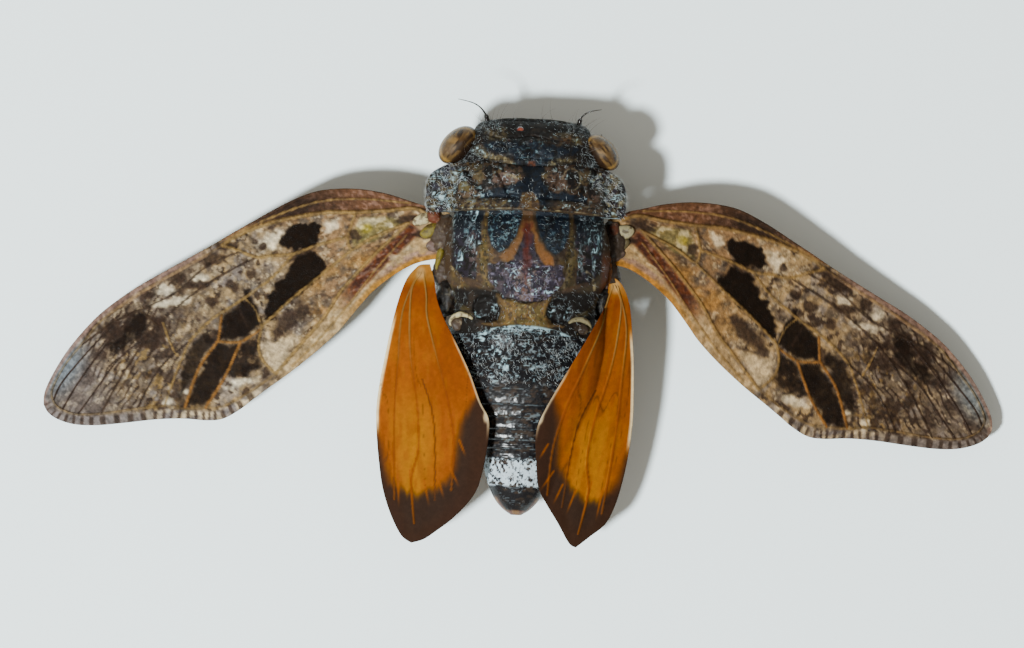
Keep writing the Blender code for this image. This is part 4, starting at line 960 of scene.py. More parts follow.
def vein_field(u, v, veins):
    """Height of the vein ridges, their cover and their golden share at each point."""
    rise = np.zeros(len(u))
    cover = np.zeros(len(u))
    gold = np.zeros(len(u))
    for half, high, share, raw in veins.values():
        d, _ = line_distance(u, v, smooth_line(raw, 5))
        half = half * VEIN_SLIM
        rise = np.maximum(rise, 0.6 * high * np.sqrt(np.clip(1 - (d / half) ** 2, 0, 1)))
        c = step(d, half * 1.15 + 0.02, half * 0.65)
        gold = np.where(c > cover, share, gold)
        cover = np.maximum(cover, c)
    return rise, cover, gold


def wing_sheet(front_edge, rear_edge, rows, cols):
    """Grid over a wing's plan between its two edges, from foot to tip, and its distance from the edge."""
    t = 1 - (1 - np.linspace(0, 1, rows)) ** 1.25
    a = resampled(smooth_line(front_edge), t)
    b = resampled(smooth_line(rear_edge), t)
    s = np.linspace(0, 1, cols)[None, :, None]
    grid = a[:, None, :] * (1 - s) + b[:, None, :] * s
    edge = np.minimum(np.minimum(s[..., 0], 1 - s[..., 0]) * np.hypot(*(a - b).T)[:, None],
                      (np.hypot(*(grid - a[-1]).transpose(2, 0, 1))))
    return grid, edge


def sheet_solid(xy, top, bottom, shape):
    """Closed solid from the same grid above and below."""
    rows, cols = shape
    n = rows * cols
    upper = np.column_stack([xy, top])
    lower = np.column_stack([xy, bottom])
    verts = np.concatenate([upper, lower])
    quads = grid_faces(rows, cols, False)
    faces = [tuple(q) for q in quads] + [tuple(q[::-1] + n) for q in quads]
    rim = ([r * cols for r in range(rows)] + [(rows - 1) * cols + c for c in range(1, cols)]
           + [r * cols + cols - 1 for r in range(rows - 2, -1, -1)] + list(range(cols - 2, 0, -1)))
    for i, a in enumerate(rim):
        b = rim[(i + 1) % len(rim)]
        faces.append((a, b, b + n, a + n))
    return verts, outward(verts, faces)


def wing_plan(front, rear, rows, cols, veins):
    """Grid size, plan points and distance from the edge of a wing, and what its veins do at each point."""
    grid, edge = wing_sheet(front, rear, rows, cols)
    u, v = grid.reshape(-1, 2).T
    return grid.shape[:2], u, v, edge.ravel(), *vein_field(u, v, veins)


def wing_piece(kind, word, plan, top, bottom, shape, skin, rgb, rough):
    """Skin of a wing, coloured the same above and below."""
    verts, faces = sheet_solid(np.column_stack(plan), top, bottom, shape)
    node = kind + "_" + word
    make_piece(kind + "_skin_" + word, verts, faces, skin, (node,), np.tile(rgb, (2, 1)),
               np.tile(rough, 2))


SPOT_ONE = ((5.5, 2.65), (6.2, 2.95), (7.1, 3.05), (7.6, 2.85), (8.0, 2.4), (7.8, 2.0), (7.2, 1.75),
            (6.3, 1.5), (5.7, 1.95), (5.3, 2.4))
SPOT_TWO = ((6.3, 1.25), (7.3, 1.4), (7.9, 1.15), (8.4, 0.8), (8.6, 0.45), (9.2, 0.55), (9.3, 0.15),
            (9.9, 0.0), (10.4, -0.8), (10.6, -1.2), (10.2, -1.25), (9.6, -1.1), (9.0, -0.85), (7.7, -0.5),
            (6.7, -0.25), (6.0, 0.1), (6.1, 0.6))
SPOT_THREE = ((7.6, -1.4), (8.0, -1.0), (9.0, -1.2), (9.9, -1.4), (10.5, -2.0), (10.6, -2.4), (9.9, -2.4),
              (9.0, -2.2), (8.0, -1.8))
COSTAL_DARK = ((4.9, 4.0), (5.6, 4.3), (6.8, 4.35), (7.8, 4.2), (8.4, 4.1), (7.3, 3.75), (6.0, 3.5),
               (5.1, 3.45))
DARK_CELLS = (
    ((13.3, -1.0), (12.6, 0.1), (11.6, 0.25), (11.1, 0.35), (10.9, 0.9), (10.62, 0.8), (10.64, -0.3),
     (10.8, -1.35), (12.2, -1.55)),
    ((13.6, -1.3), (12.4, -1.85), (12.9, -2.35), (14.0, -3.1), (15.7, -4.2), (16.7, -3.75), (15.9, -2.9),
     (15.0, -2.2)),
    ((12.2, -1.85), (11.1, -1.8), (11.7, -2.7), (11.7, -3.4), (12.9, -3.6), (13.8, -3.2)), ((14.9, -0.7),
    (13.7, -0.3), (13.7, -0.95), (14.6, -1.7), (15.9, -2.7), (16.9, -3.3), (16.0, -1.8)),
)
CREAM_SPOTS = ((8.3, 2.75, 0.75, 0.42, 0), (4.8, 2.15, 0.55, 0.3, -15), (15.0, 2.72, 0.42, 0.3, 20),
               (17.5, -3.1, 0.26, 0.2, 0), (17.75, -3.72, 0.26, 0.28, 0), (13.2, -3.85, 0.75, 0.24, 5),
               (16.4, -3.0, 0.22, 0.16, 0), (12.9, 2.55, 0.5, 0.25, 20), (14.9, 1.95, 0.9, 0.22, 15))
DUSK_SPOTS = ((14.1, 3.05, 0.42, 0.34, 0), (16.1, 2.85, 0.4, 0.32, 0), (17.3, 1.75, 1.0, 0.45, 22),
              (18.6, 1.75, 0.55, 0.65, 0), (21.4, 0.0, 0.5, 0.42, 0), (11.9, 3.3, 0.8, 0.36, 10),
              (13.2, 2.25, 0.7, 0.24, 20), (11.4, 1.4, 0.4, 0.35, 0), (12.9, 1.05, 0.35, 0.3, 0),
              (10.2, 1.6, 0.3, 0.25, 0), (8.9, 2.7, 0.25, 0.2, 0), (3.9, 1.1, 0.28, 0.36, -20),
              (16.0, 1.2, 0.5, 0.3, 30), (19.9, 0.9, 0.5, 0.3, 20), (6.9, 1.5, 0.9, 0.32, 0),
              (13.5, -0.9, 0.6, 0.4, 0), (17.0, 0.6, 0.9, 0.6, 20), (10.9, 3.6, 0.7, 0.3, 10))


def fore_paint(pal, u, v, cover, gold, edge, seed, shaded_right_wing):
    """Colours of a forewing: bark-like mottling, dark blotches and cells, pale flecks and a striped rim."""
    p = Paint(len(u), pal.taupe)
    m1 = cloud(u, v, 1.1, seed + 1)
    m2 = cloud(u, v, 0.42, seed + 4)
    m3 = cloud(u, v, 0.17, seed + 8, 2)
    p.lay(pal.beige, 0.85 * step(m1 * 0.5 + m2 * 0.7, -0.5, 0.4))
    p.lay(pal.grey, 0.6 * blots(u, v, 0.6, seed + 12, 0.0, 0.5) * step(u, 7.5, 10.0))
    base = step(u, 9.0, 6.0)
    # painted highlight: small pale specks over the inner part of the wing stand in for glints off its glossy
    # wrinkles
    p.lay(pal.cream, 0.3 * step(u, 12.0, 9.0) * step(cloud(u, v, 0.12, seed + 48, 2), 0.5, 0.7))
    p.lay(pal.tan, 0.7 * base * step(m2, -0.7, 0.3))
    p.lay(pal.umber, 0.75 * blots(u, v, 0.4, seed + 41, 0.22, 0.5) * step(u, 5.5, 9.0))
    p.lay(pal.umber, 0.5 * base * blots(u * 0.6, v, 0.3, seed + 42, 0.2, 0.5))
    p.lay(pal.sand, 0.5 * blots(u, v, 0.3, seed + 43, 0.32, 0.6))
    p.lay(pal.umber, 0.45 * step(u, 4.6, 3.4) * step(v, -0.8, 0.2)
          * step(noise(u * 0.3, v, 0.16, seed + 44), -0.3, 0.4))
    p.lay(pal.honey, 0.55 * step(u, 10.5, 5.0) * step(v, 0.4, -0.6) * step(m1, -0.6, 0.3))
    # the strip before the radius vein
    radius = np.interp(u, (-0.5, 0.2, 1.5, 3.3, 4.6, 5.9, 7.6, 9.0, 11.0),
                       (0.5, 1.15, 1.6, 2.3, 2.9, 3.3, 3.7, 3.86, 3.9))
    costa = step(v - radius, -0.05, 0.12) * step(u, 11.2, 10.4)
    p.lay(pal.russet, 0.85 * costa)
    p.lay(pal.mauve, 0.45 * costa * step(m3, 0.1, 0.5))
    p.lay(pal.umber, 0.9 * patch(u, v, COSTAL_DARK, 0.22, 0.12, 0.3, seed))
    p.lay(pal.umber, 0.5 * costa * step(u, 3.2, 4.6) * step(u, 9.6, 8.6))
    p.lay(pal.tan, 0.6 * costa * step(u, 8.6, 9.6))
    # basal cell and the folded hind strip
    cell = patch(u, v, ((4.0, 1.25), (4.2, 0.6), (3.0, 0.35), (1.0, 0.7), (1.8, 1.35), (3.2, 1.9)), 0.15)
    p.lay(pal.olive, 0.6 * cell)
    p.lay(pal.cream, 0.4 * cell * step(m2, 0.0, 0.5))
    p.lay(pal.lemon, 0.4 * oval(u, v, 3.1, 1.2, 0.32, 0.26, 0.4))
    line = np.interp(u, (0.8, 3.2, 4.7, 6.0, 7.4, 8.7, 10.0, 11.3),
                     (0.5, -0.3, -0.9, -1.5, -2.4, -3.0, -3.62, -4.2))
    behind = step(v - line, -0.05, -0.2) * step(u, 11.4, 10.8)
    p.lay(pal.beige, 0.8 * behind)
    p.lay(pal.sand, 0.45 * behind * step(m2, 0.1, 0.5))
    strip = step(v - line, 0.0, -0.25) * step(v - line, -1.05, -0.75) * step(u, 6.8, 4.8) * step(u, 0.2, 0.8)
    p.lay(pal.maroon, 0.92 * strip)
    p.lay(pal.rust, 0.25 * strip * step(m3, 0.0, 0.4))
    p.lay(pal.mauve, 0.5 * strip * step(noise(u * 0.5, v, 0.13, seed + 47), 0.3, 0.7))
    flap = step(edge, 0.55, 0.25) * step(v, -0.5, -1.2) * step(u, 7.5, 3.5)
    p.lay(pal.honey, 0.9 * flap)
    root = step(u, 4.6, 2.6) * step(v, -0.4, -0.9)
    p.lay(pal.mauve, 0.75 * root * step(np.abs(edge - 0.48), 0.28, 0.12) * step(m2, -0.6, 0.1))
    p.lay(pal.sand, 0.6 * root * step(noise(u * 0.4, v, 0.14, seed + 45), 0.1, 0.6) * step(edge, 0.7, 1.0))
    p.lay(pal.honey, 0.7 * root * step(edge, 0.26, 0.12))
    lobe = patch(u, v, ((11.3, -2.3), (11.5, -3.5), (11.2, -4.2), (10.2, -3.6), (9.2, -2.8), (9.9, -2.5)),
                 0.3, 0.1)
    p.lay(pal.sand, 0.75 * lobe)
    # outer third: fine dark lines along the veins and golden flecks
    far = step(u + 0.35 * v, 13.2, 16.5)
    ru, rv = turned(u, v, -32.0)
    p.lay(pal.taupe, 0.55 * far)
    p.lay(pal.grey, 0.5 * far * step(m2, 0.0, 0.5))
    lines = np.cos(2 * np.pi * (rv + 0.22 * noise(u, v, 0.6, seed + 15)) / 0.36)
    broken = step(noise(ru * 0.5, rv, 0.28, seed + 17), -0.55, 0.1)
    p.lay(pal.umber, 0.85 * far * step(lines, 0.1, 0.8) * broken)
    p.lay(pal.gold, 0.7 * far * step(v, 1.2, 0.0) * blots(ru * 0.6, rv, 0.24, seed + 19, 0.2, 0.45)
          * step(u, 20.5, 18.0))
    p.lay(pal.sand, 0.5 * far * blots(ru * 0.5, rv, 0.22, seed + 20, 0.35, 0.6))
    p.lay(pal.umber, 0.75 * far * blots(u, v, 0.6, seed + 21, 0.0, 0.5))
    for cx, cy, rx, ry, angle in CREAM_SPOTS:
        p.lay(pal.cream, 0.62 * oval(u, v, cx, cy, rx, ry, 0.55, angle, 0.55, seed + 3))
    for cx, cy, rx, ry, angle in DUSK_SPOTS:
        p.lay(pal.umber, 0.8 * oval(u, v, cx, cy, rx, ry, 0.35, angle, 0.45, seed + 6))
    slash = patch(u, v, ((16.4, 2.35), (17.2, 2.3), (18.3, 1.4), (19.6, 1.2), (19.2, 0.6), (17.8, 0.9),
                         (16.9, 1.3)),
                  0.16, 0.22, 0.3, seed + 9)
    p.lay(pal.ink, 0.75 * slash)
    # painted shade: the right wing's tip keeps less of the pale grey
    p.lay(pal.grey, (0.15 if shaded_right_wing else 0.5) * step(u, 19.0, 22.0))
    # painted sheen: a soft blue-grey patch near the tip stands in for light on the membrane
    p.lay(pal.tip_sheen, 0.75 * oval(u, v, 22.2, 1.1, 1.5, 0.85, 0.8, -32))
    for k, cell in enumerate(DARK_CELLS):
        p.lay(pal.ink, (0.93, 0.88, 0.82, 0.76)[k] * patch(u, v, cell, 0.14, 0.14, 0.25, seed + 23 + k))
    p.lay(pal.umber, 0.5 * patch(u, v, DARK_CELLS[2], 0.1, 0.1) * step(m2, -0.2, 0.3))
    p.lay(pal.beige, 0.35 * patch(u, v, DARK_CELLS[2], 0.1, 0.1) * step(m2, 0.25, 0.6))
    p.lay(pal.ink, 0.97 * patch(u, v, SPOT_ONE, 0.1, 0.14, 0.25, seed + 31))
    p.lay(pal.ink, 0.97 * patch(u, v, SPOT_TWO, 0.1, 0.12, 0.25, seed + 33))
    p.lay(pal.umber, 0.85 * patch(u, v, SPOT_THREE, 0.28, 0.2, 0.25, seed + 35))
    # rim outside the margin vein: cream and grey bars
    rim_line = FORE_VEINS["margin"][3]
    d_rim, share = line_distance(u, v, smooth_line(rim_line, 5))
    rim = step(edge, 0.62, 0.42) * step(u, 11.8, 12.6) * step(d_rim, 0.05, 0.12)
    bars = np.cos(2 * np.pi * share * 44 + 0.7 * noise(u, v, 0.8, seed + 37))
    hind_rim = step(v - (-0.6), 0.8, -0.6)
    p.lay(pal.grey, 0.8 * rim * hind_rim)
    p.lay(pal.sand, 0.8 * rim * hind_rim * step(u, 20.5, 17.0) * step(m2, -0.6, 0.3))
    p.lay(pal.umber, 0.7 * rim * step(bars, -0.1, 0.6) * hind_rim)
    p.lay(pal.mauve, 0.7 * rim * (1 - hind_rim) * step(edge, 0.34, 0.2))
    p.lay(pal.blush, 0.55 * step(d_rim, 0.13, 0.05) * step(v, 2.6, 3.1) * step(u, 11.4, 12.4))
    # veins over everything, golden at the base and thin and brown toward the tip
    p.lay(pal.umber, cover * step(gold, 0.65, 0.4) * 0.85)
    p.lay(pal.gold, cover * step(gold, 0.4, 0.8) * (0.72 + 0.2 * m3))
    p.lay(pal.copper, cover * step(gold, 1.05, 1.25) * 0.8)
    p.lay(pal.umber, 0.7 * step(np.hypot(u - 11.55, v + 0.45) - 0.02, 0.65, 0.6)
          * step(np.abs(u - 11.6), 0.09, 0.04))
    p.lay(pal.umber, 0.85
          * patch(u, v, ((-0.9, -0.55), (0.3, -0.75), (0.9, -0.2), (0.5, -0.1), (-0.2, -0.5)), 0.1))
    p.lay(pal.umber, 0.8 * oval(u, v, 0.8, 0.75, 0.7, 0.16, 0.4, 10))
    p.shade(1 + 0.18 * m3 + 0.14 * noise(u, v, 0.13, seed + 46))
    # painted shade: the right wing, turned from the key light, is darkened and warmed as a whole
    if shaded_right_wing:
        p.rgb = p.rgb * np.array([0.92, 0.88, 0.83])
    rough = np.clip(0.66 - 0.12 * cover + 0.12 * m3, 0.4, 0.85)
    return p.rgb, rough


def hind_paint(pal, u, v, cover, gold, edge, seed, word):
    """Colours of a hindwing: amber with a broad brown border that runs into it as rays."""
    p = Paint(len(u), pal.amber)
    m2 = cloud(u, v, 0.8, seed + 3)
    ru, rv = turned(u, v, -4.0)
    grain = noise(ru * 0.25, rv, 0.2, seed + 5)
    inner = step(v, 0.6, -1.6)
    p.lay(pal.rust, 0.75 * np.maximum(step(u, 3.2, 0.4), 0.75 * inner * step(u, 9.0, 5.5)))
    p.lay(pal.yolk, 0.85 * step(u, 5.5, 9.5) * step(np.abs(v - (0.2 - 0.08 * (u - 9))), 1.9, 0.3))
    p.lay(pal.rust, 0.28 * step(grain, 0.1, 0.7))
    p.lay(pal.yolk, 0.22 * step(grain, -0.2, -0.8))
    limit = {
        "left": ((6.6, -3.6), (7.2, -3.05), (8.46, -2.5), (9.63, -2.35), (11.14, -2.25), (11.87, -1.76),
                 (12.49, -0.99), (12.77, -0.18), (12.48, 0.75), (12.06, 1.36), (11.04, 1.76), (9.9, 2.05),
                 (8.6, 2.6), (12, 3.5), (17, 2), (17, -4), (8, -6)),
        "right": ((5.9, -2.9), (6.8, -2.3), (8.0, -1.95), (9.4, -1.85), (10.5, -1.75), (11.3, -1.3),
                  (12.0, -0.6), (12.5, 0.1), (12.3, 0.9), (11.8, 1.45), (11.0, 1.8), (9.9, 2.0), (8.9, 2.5),
                  (12, 3.5), (17, 2), (17, -4), (8, -6)),
    }[word]
    wave = 0.2 * noise(rv * 1.0, ru * 0.12, 0.16, seed + 9)
    border = patch(u + wave, v, limit, 0.38)
    p.lay(pal.cocoa, 0.97 * border)
    p.lay(pal.umber, 0.6 * border * step(edge, 0.3, 1.4))
    for a, b in (((11.3, 0.32), (14.0, -0.09)), ((11.8, -0.52), (13.4, -0.93)), ((11.6, -1.3), (12.9, -1.75)),
                 ((10.9, -1.9), (12.2, -2.6)), ((9.4, -2.4), (10.4, -2.85)), ((11.6, 1.0), (13.6, 0.8))):
        d, along = line_distance(u, v, (a, b))
        p.lay(pal.amber, 0.8 * step(d, 0.09, 0.02) * step(along, 1.0, 0.4))
    p.lay(pal.sand, 0.7 * step(edge, 0.16, 0.08) * step(v, -1.5, -2.0) * step(u, 9.5, 8.0))
    p.lay(pal.sand, 0.8 * oval(u, v, 7.95, -3.85 if word == "left" else -3.0, 0.35, 0.16, 0.4))
    p.lay(pal.ivory, 0.85 * step(edge, 0.2, 0.1) * step(v, 0.8, 1.2) * step(u, 2.2, 3.4)
          * step(u, 9.6, 8.4))
    near = step(u, 7.5, 2.5)
    p.lay(pal.gold, cover * 0.75 * near * step(gold, 0.5, 0.9))
    p.lay(pal.rust, cover * 0.65 * (1 - near) * (1 - border))
    p.lay(pal.amber, cover * 0.55 * border)
    p.lay(pal.cocoa, cover * 0.5 * step(gold, 0.9, 0.5))
    p.lay(pal.cocoa, 0.35 * (1 - border) * step(np.abs(noise(ru * 0.12, rv, 0.5, seed + 15)), 0.05, 0.01)
          * step(u, 2.0, 6.0))
    p.lay(pal.honey, 0.8 * step(u, 1.0, 0.2))
    p.lay(pal.sand, 0.4 * oval(u, v, 0.1, 0.35, 0.35, 0.25, 0.5))
    p.shade(1 + 0.06 * cloud(u, v, 0.2, seed + 13))
    return p.rgb, np.clip(0.62 + 0.06 * m2 - 0.06 * cover, 0.4, 0.8)


# limbs
def limb(path, radii, around=14, squash=1.0, floor=None):
    """Closed tapered limb along a path, rounded at both ends."""
    pts = [Vector(p) for p in path]
    rings = []
    for k, p in enumerate(pts):
        d = (pts[min(k + 1, len(pts) - 1)] - pts[max(k - 1, 0)]).normalized()
        side = d.cross(Vector((0, 0, 1)))
        if side.length < 1e-4:
            side = Vector((1, 0, 0))
        side.normalize()
        up = side.cross(d).normalized()
        ring = []
        for i in range(around):
            a = 2 * math.pi * i / around
            q = p + side * (radii[k] * math.cos(a)) + up * (radii[k] * squash * math.sin(a))
            ring.append((q.x, q.y, q.z if floor is None else max(q.z, floor)))
        rings.append(ring)
    verts, faces = close_rings(np.array(rings))
    return verts, outward(verts, faces)


def merge_parts(parts):
    """One vertex and face list from several."""
    verts = []
    faces = []
    count = 0
    for v, f in parts:
        verts.append(np.asarray(v, float))
        faces += [tuple(i + count for i in face) for face in f]
        count += len(v)
    return np.concatenate(verts), faces


def blended(points, radii, steps):
    """Path and radii smoothed to more rings, with rounded ends."""
    path = smooth_line(points, steps)
    r = smooth_line([(x, 0.0) for x in radii], steps)[:, 0]
    n = len(r)
    ends = np.minimum(np.arange(n), np.arange(n)[::-1]) / 2.0
    r = r * np.sqrt(np.clip(1 - (1 - np.clip(ends, 0.12, 1)) ** 2, 0, 1))
    return path, np.maximum(r, 0.012)


def between(a, b, share):
    """Point a share of the way from a to b."""
    return a + (b - a) * share


def spine(base, tip, radius):
    path = [tuple(np.array(base) + (np.array(tip) - np.array(base)) * t) for t in (0, 0.5, 1)]
    return limb(path, [radius, radius * 0.6, radius * 0.08], around=6)


# palettes the user can change
class BodyColours(bpy.types.PropertyGroup):
    """Colours of the body's shell and bloom."""
    pitch: tint("Pitch", "Near-black shell", "#100d0b")
    jet: tint("Jet", "Glossy black of the abdomen", "#0b0a0c")
    navy: tint("Navy", "Blue-black of the middle marks", "#0e141c")
    ochre: tint("Ochre", "Ochre marks", "#6b5027")
    olive: tint("Olive", "Olive marks", "#463c20")
    khaki: tint("Khaki", "Dull marks of the head and pronotum", "#5a4e31")
    lemon: tint("Lemon", "Bright olive-yellow spots at the wing roots", "#62561c")
    brown: tint("Brown", "Mid brown shell", "#33261b")
    rust: tint("Rust", "Rusty marks", "#522917")
    amber: tint("Amber", "Orange-brown marks of the thorax", "#5b3b1d")
    red: tint("Red", "Dark red streak on the thorax", "#421a14")
    mauve: tint("Mauve", "Pinkish brown mottling", "#54423a")
    violet: tint("Violet", "Purple-black of the rear thorax", "#1f1a23")
    lilac: tint("Lilac", "Pale mottling of the rear thorax", "#645f71")
    yolk: tint("Yolk", "Brightest orange of the thorax", "#7e4a1b")
    teal: tint("Teal", "Pale blue-green hairs in the drops", "#4d666c")
    cream: tint("Cream", "Pale rims", "#a89c74")
    silver: tint("Silver", "Greyish lying hairs", "#5c676b")
    frost: tint("Frost", "Whitest lying hairs", "#9abac1")
    wax: tint("Wax", "White wax band near the tail", "#b4c3cb")


class WingColours(bpy.types.PropertyGroup):
    """Colours of the four wings."""
    ink: tint("Ink", "Near-black blotches", "#100a06")
    umber: tint("Umber", "Dark brown mottling", "#251b15")
    taupe: tint("Taupe", "Ground of the forewing", "#4b4035")
    grey: tint("Grey", "Lilac-grey mottling", "#625b58")
    beige: tint("Beige", "Pale ground", "#89714d")
    sand: tint("Sand", "Pale rim bars", "#ab9774")
    cream: tint("Cream", "Pale flecks", "#d9ccac")
    ivory: tint("Ivory", "White plates at the wing root", "#d8c69c")
    tan: tint("Tan", "Warm ground at the base", "#6b4f34")
    honey: tint("Honey", "Golden membrane", "#855a20")
    gold: tint("Gold", "Golden veins", "#6d5630")
    copper: tint("Copper", "Orange veins of the dark cells", "#6a441d")
    russet: tint("Russet", "Strip before the leading vein", "#4d3222")
    mauve: tint("Mauve", "Pinkish flecks", "#71584e")
    blush: tint("Blush", "Pale line inside the leading edge", "#8b6e56")
    maroon: tint("Maroon", "Dark folded strip", "#341b14")
    olive: tint("Olive", "Olive of the basal cell", "#5e572d")
    lemon: tint("Lemon", "Yellow spots at the root", "#887a0c")
    # the blue-grey sheen that is painted near the forewing's tip
    tip_sheen: tint("Steel", "Blue-grey bloom at the tip", "#5d6870")
    rust: tint("Rust", "Rust orange", "#5f2a07")
    amber: tint("Amber", "Amber orange of the hindwing", "#743a07")
    yolk: tint("Yolk", "Yellow-orange middle of the hindwing", "#815003")
    cocoa: tint("Cocoa", "Brown border of the hindwing", "#261811")


class CoatSettings(bpy.types.PropertyGroup):
    """Sizes of the fine hairs."""
    short_length: size("Short hair", "Length of a lying hair in millimetres", 0.21, 0.05, 2.0)
    short_width: size("Short hair width", "Width of a lying hair in millimetres, coarse enough to show",
                      0.015, 0.005, 0.2)
    short_density: size("Short hair density",
                        "Lying hairs for each square millimetre where the coat is full", 90.0)
    long_length: size("Long bristle", "Length of a standing bristle in millimetres", 1.15, 0.1, 4.0)
    long_width: size("Long bristle width", "Width of a standing bristle in millimetres", 0.02, 0.005, 0.2)


class StageSettings(bpy.types.PropertyGroup):
    """Floor, lights and camera."""
    floor_colour: tint("Floor", "Pale floor", "#eefafb")
    key_power: size("Key light", "Strength of the key light in watts", 5.3, 0.0, 100.0)
    sky: size("Surround", "Strength of the pale surround", 0.46, 0.0, 10.0)
    camera_distance: size("Camera distance", "Height of the camera over the insect in metres", 0.45, 0.05,
                          5.0)


# operators, one for each group of pieces
class CICADA_OT_head(bpy.types.Operator):
    """Head shell with its ocelli and ridged face"""
    bl_idname = "cicada.head"
    bl_label = "Head"

    def execute(self, context):
        pal = context.scene.cicada_body
        # waxy chitin with coarse grain
        shell = painted_surface("chitin_head_mottled", 0.1, 0.03, coat=0.16)
        ys = 8.12 - (8.12 - 5.3) * (1 - np.cos(np.linspace(0, np.pi / 2, 96))) ** 0.85
        ys = ys[::-1]
        rings, s = plate(HEAD, ys, 3.0, nape, straight, around=440)
        lift_back(rings, s, head_relief)
        x, y, z = rings[..., 0], rings[..., 1], rings[..., 2]
        face = step(y, 7.0, 7.7) * step(np.abs(x), 2.3, 1.6) * step(z, 5.6, 5.0)
        y += 0.05 * face * np.cos(2 * np.pi * z / FACE_RIDGES)
        plate_piece("head_skin", rings, pal, head_paint, shell, ("head",))
        self.ocelli(context)
        return {"FINISHED"}

    def ocelli(self, context):
        # a clear hard lens
        glass = painted_surface("ocellus_lens", 0.05, 0.0, variation=0.05, coat=1.0, coat_rough=0.03)
        across, along, up = ball(12, 20, 0.05)
        parts = []
        for r, (cx, cy) in zip((0.2, 0.1, 0.1), OCELLI):
            top = read_rows(HEAD, cy, 2)[0]
            v, f = close_rings(np.stack([cx + r * across, cy + r * along, top + r * 0.85 * up], axis=-1))
            parts.append((v, outward(v, f)))
        verts, faces = merge_parts(parts)
        p = Paint(len(verts), srgb("#4f1c14"))
        # painted highlight: a pale glint off the centre of the middle ocellus
        p.lay(srgb("#94533a"), 0.5 * oval(verts[:, 0], verts[:, 1], -0.66, 7.46, 0.12, 0.1, 0.6))
        p.lay(srgb("#1c0d0a"), step(verts[:, 1], 7.1, 7.0))
        make_piece("ocelli", verts, faces, glass, (), p.rgb, 0.12)


class CICADA_OT_eyes(bpy.types.Operator):
    """Two big side eyes, ochre brown with dark mottling"""
    bl_idname = "cicada.eyes"
    bl_label = "Eyes"

    middles = {"left": (4.2, 6.45, 5.3), "right": (3.98, 6.38, 5.3)}
    radii = {"left": (1.3, 0.84, 1.2), "right": (1.2, 0.76, 1.2)}
    turn = 44.0

    def execute(self, context):
        # the eye's fine facets under a thin gloss
        lens = painted_surface("compound_eye_facets", 0.045, 0.018, variation=0.1, coat=0.22,
                               coat_rough=0.2)
        a = math.radians(self.turn)
        for side, word in SIDES:
            mx, my, mz = self.middles[word]
            long_r, short_r, high_r = self.radii[word]
            long_way, up, out = ball(60, 96, 0.01 * np.pi)
            dx = -long_r * long_way * math.sin(a) + short_r * out * math.cos(a)
            dy = long_r * long_way * math.cos(a) + short_r * out * math.sin(a)
            rings = np.stack([side * (mx + dx), my + dy, mz + high_r * up], axis=-1)
            verts, faces = close_rings(rings)
            o = np.append(out.ravel(), [1.0, -1.0])
            lw = np.append(long_way.ravel(), [0, 0])
            u = np.append(up.ravel(), [0, 0])
            p = Paint(len(verts), srgb("#4d3a20"))
            p.lay(srgb("#71562e"), 0.8 * blots(lw * 2, o * 2 + u, 0.55, 7, -0.2, 0.5))
            streaks = step(noise(lw * 1.5 + 3 * side, o * 3.4 - 0.6 * lw, 0.5, 23), 0.12, 0.42)
            streaks = streaks * step(u, -0.1, 0.2)
            p.lay(srgb("#20150c"), 0.85 * streaks * step(np.hypot(lw, o), 0.92, 0.75))
            p.lay(srgb("#3d2a17"), 0.6 * blots(lw, o, 0.22, 29, 0.1, 0.4))
            rim = np.abs(np.hypot(lw, o * 0.9) - 0.86)
            p.lay(srgb("#8a6a34"), 0.7 * step(rim, 0.09, 0.02) * step(u, 0.0, 0.3))
            p.lay(srgb("#1e140e"), 0.9 * step(o, -0.35, -0.6))
            node = "eye_" + word
            make_piece("eye_skin_" + word, verts, outward(verts, faces), lens, (node,), p.rgb, 0.22)
        return {"FINISHED"}


class CICADA_OT_feelers(bpy.types.Operator):
    """Bristle feelers: two thick joints and a fine whip"""
    bl_idname = "cicada.feelers"
    bl_label = "Feelers"

    paths = {
        "left": ((2.62, 2.62, 2.7, 2.8, 3.05, 3.4, 3.85, 4.3),
                 (7.7, 8.02, 8.22, 8.4, 8.66, 8.86, 8.98, 9.06)),
        "right": ((2.62, 2.62, 2.68, 2.76, 2.96, 3.22, 3.52, 3.85),
                  (7.7, 8.02, 8.2, 8.36, 8.54, 8.66, 8.74, 8.8)),
    }
    heights = (4.98, 5.02, 5.1, 5.18, 5.28, 5.36, 5.4, 5.4)

    def execute(self, context):
        # thin smooth chitin
        shell = painted_surface("chitin_feeler", 0.05, 0.01, coat=0.3)
        for side, word in SIDES:
            xs, ys = self.paths[word]
            line = smooth_line([(side * x, y, z) for x, y, z in zip(xs, ys, self.heights)], 6)
            t = np.linspace(0, 1, len(line))
            r = np.where(t < 0.3, 0.15 - 0.1 * t, 0.055 * (1 - t) + 0.016)
            r = r * (1 + 0.1 * np.cos(2 * np.pi * t * 9))
            r[0] = 0.05
            verts, faces = limb(line, r, around=10)
            p = Paint(len(verts), srgb("#130e0b"))
            p.lay(srgb("#473622"), step(noise(verts[:, 0], verts[:, 1], 0.3, 3), 0.2, 0.6) * 0.5)
            make_piece("feeler_" + word, verts, faces, shell, ("antenna_" + word,),
                       p.rgb, 0.35)
        return {"FINISHED"}


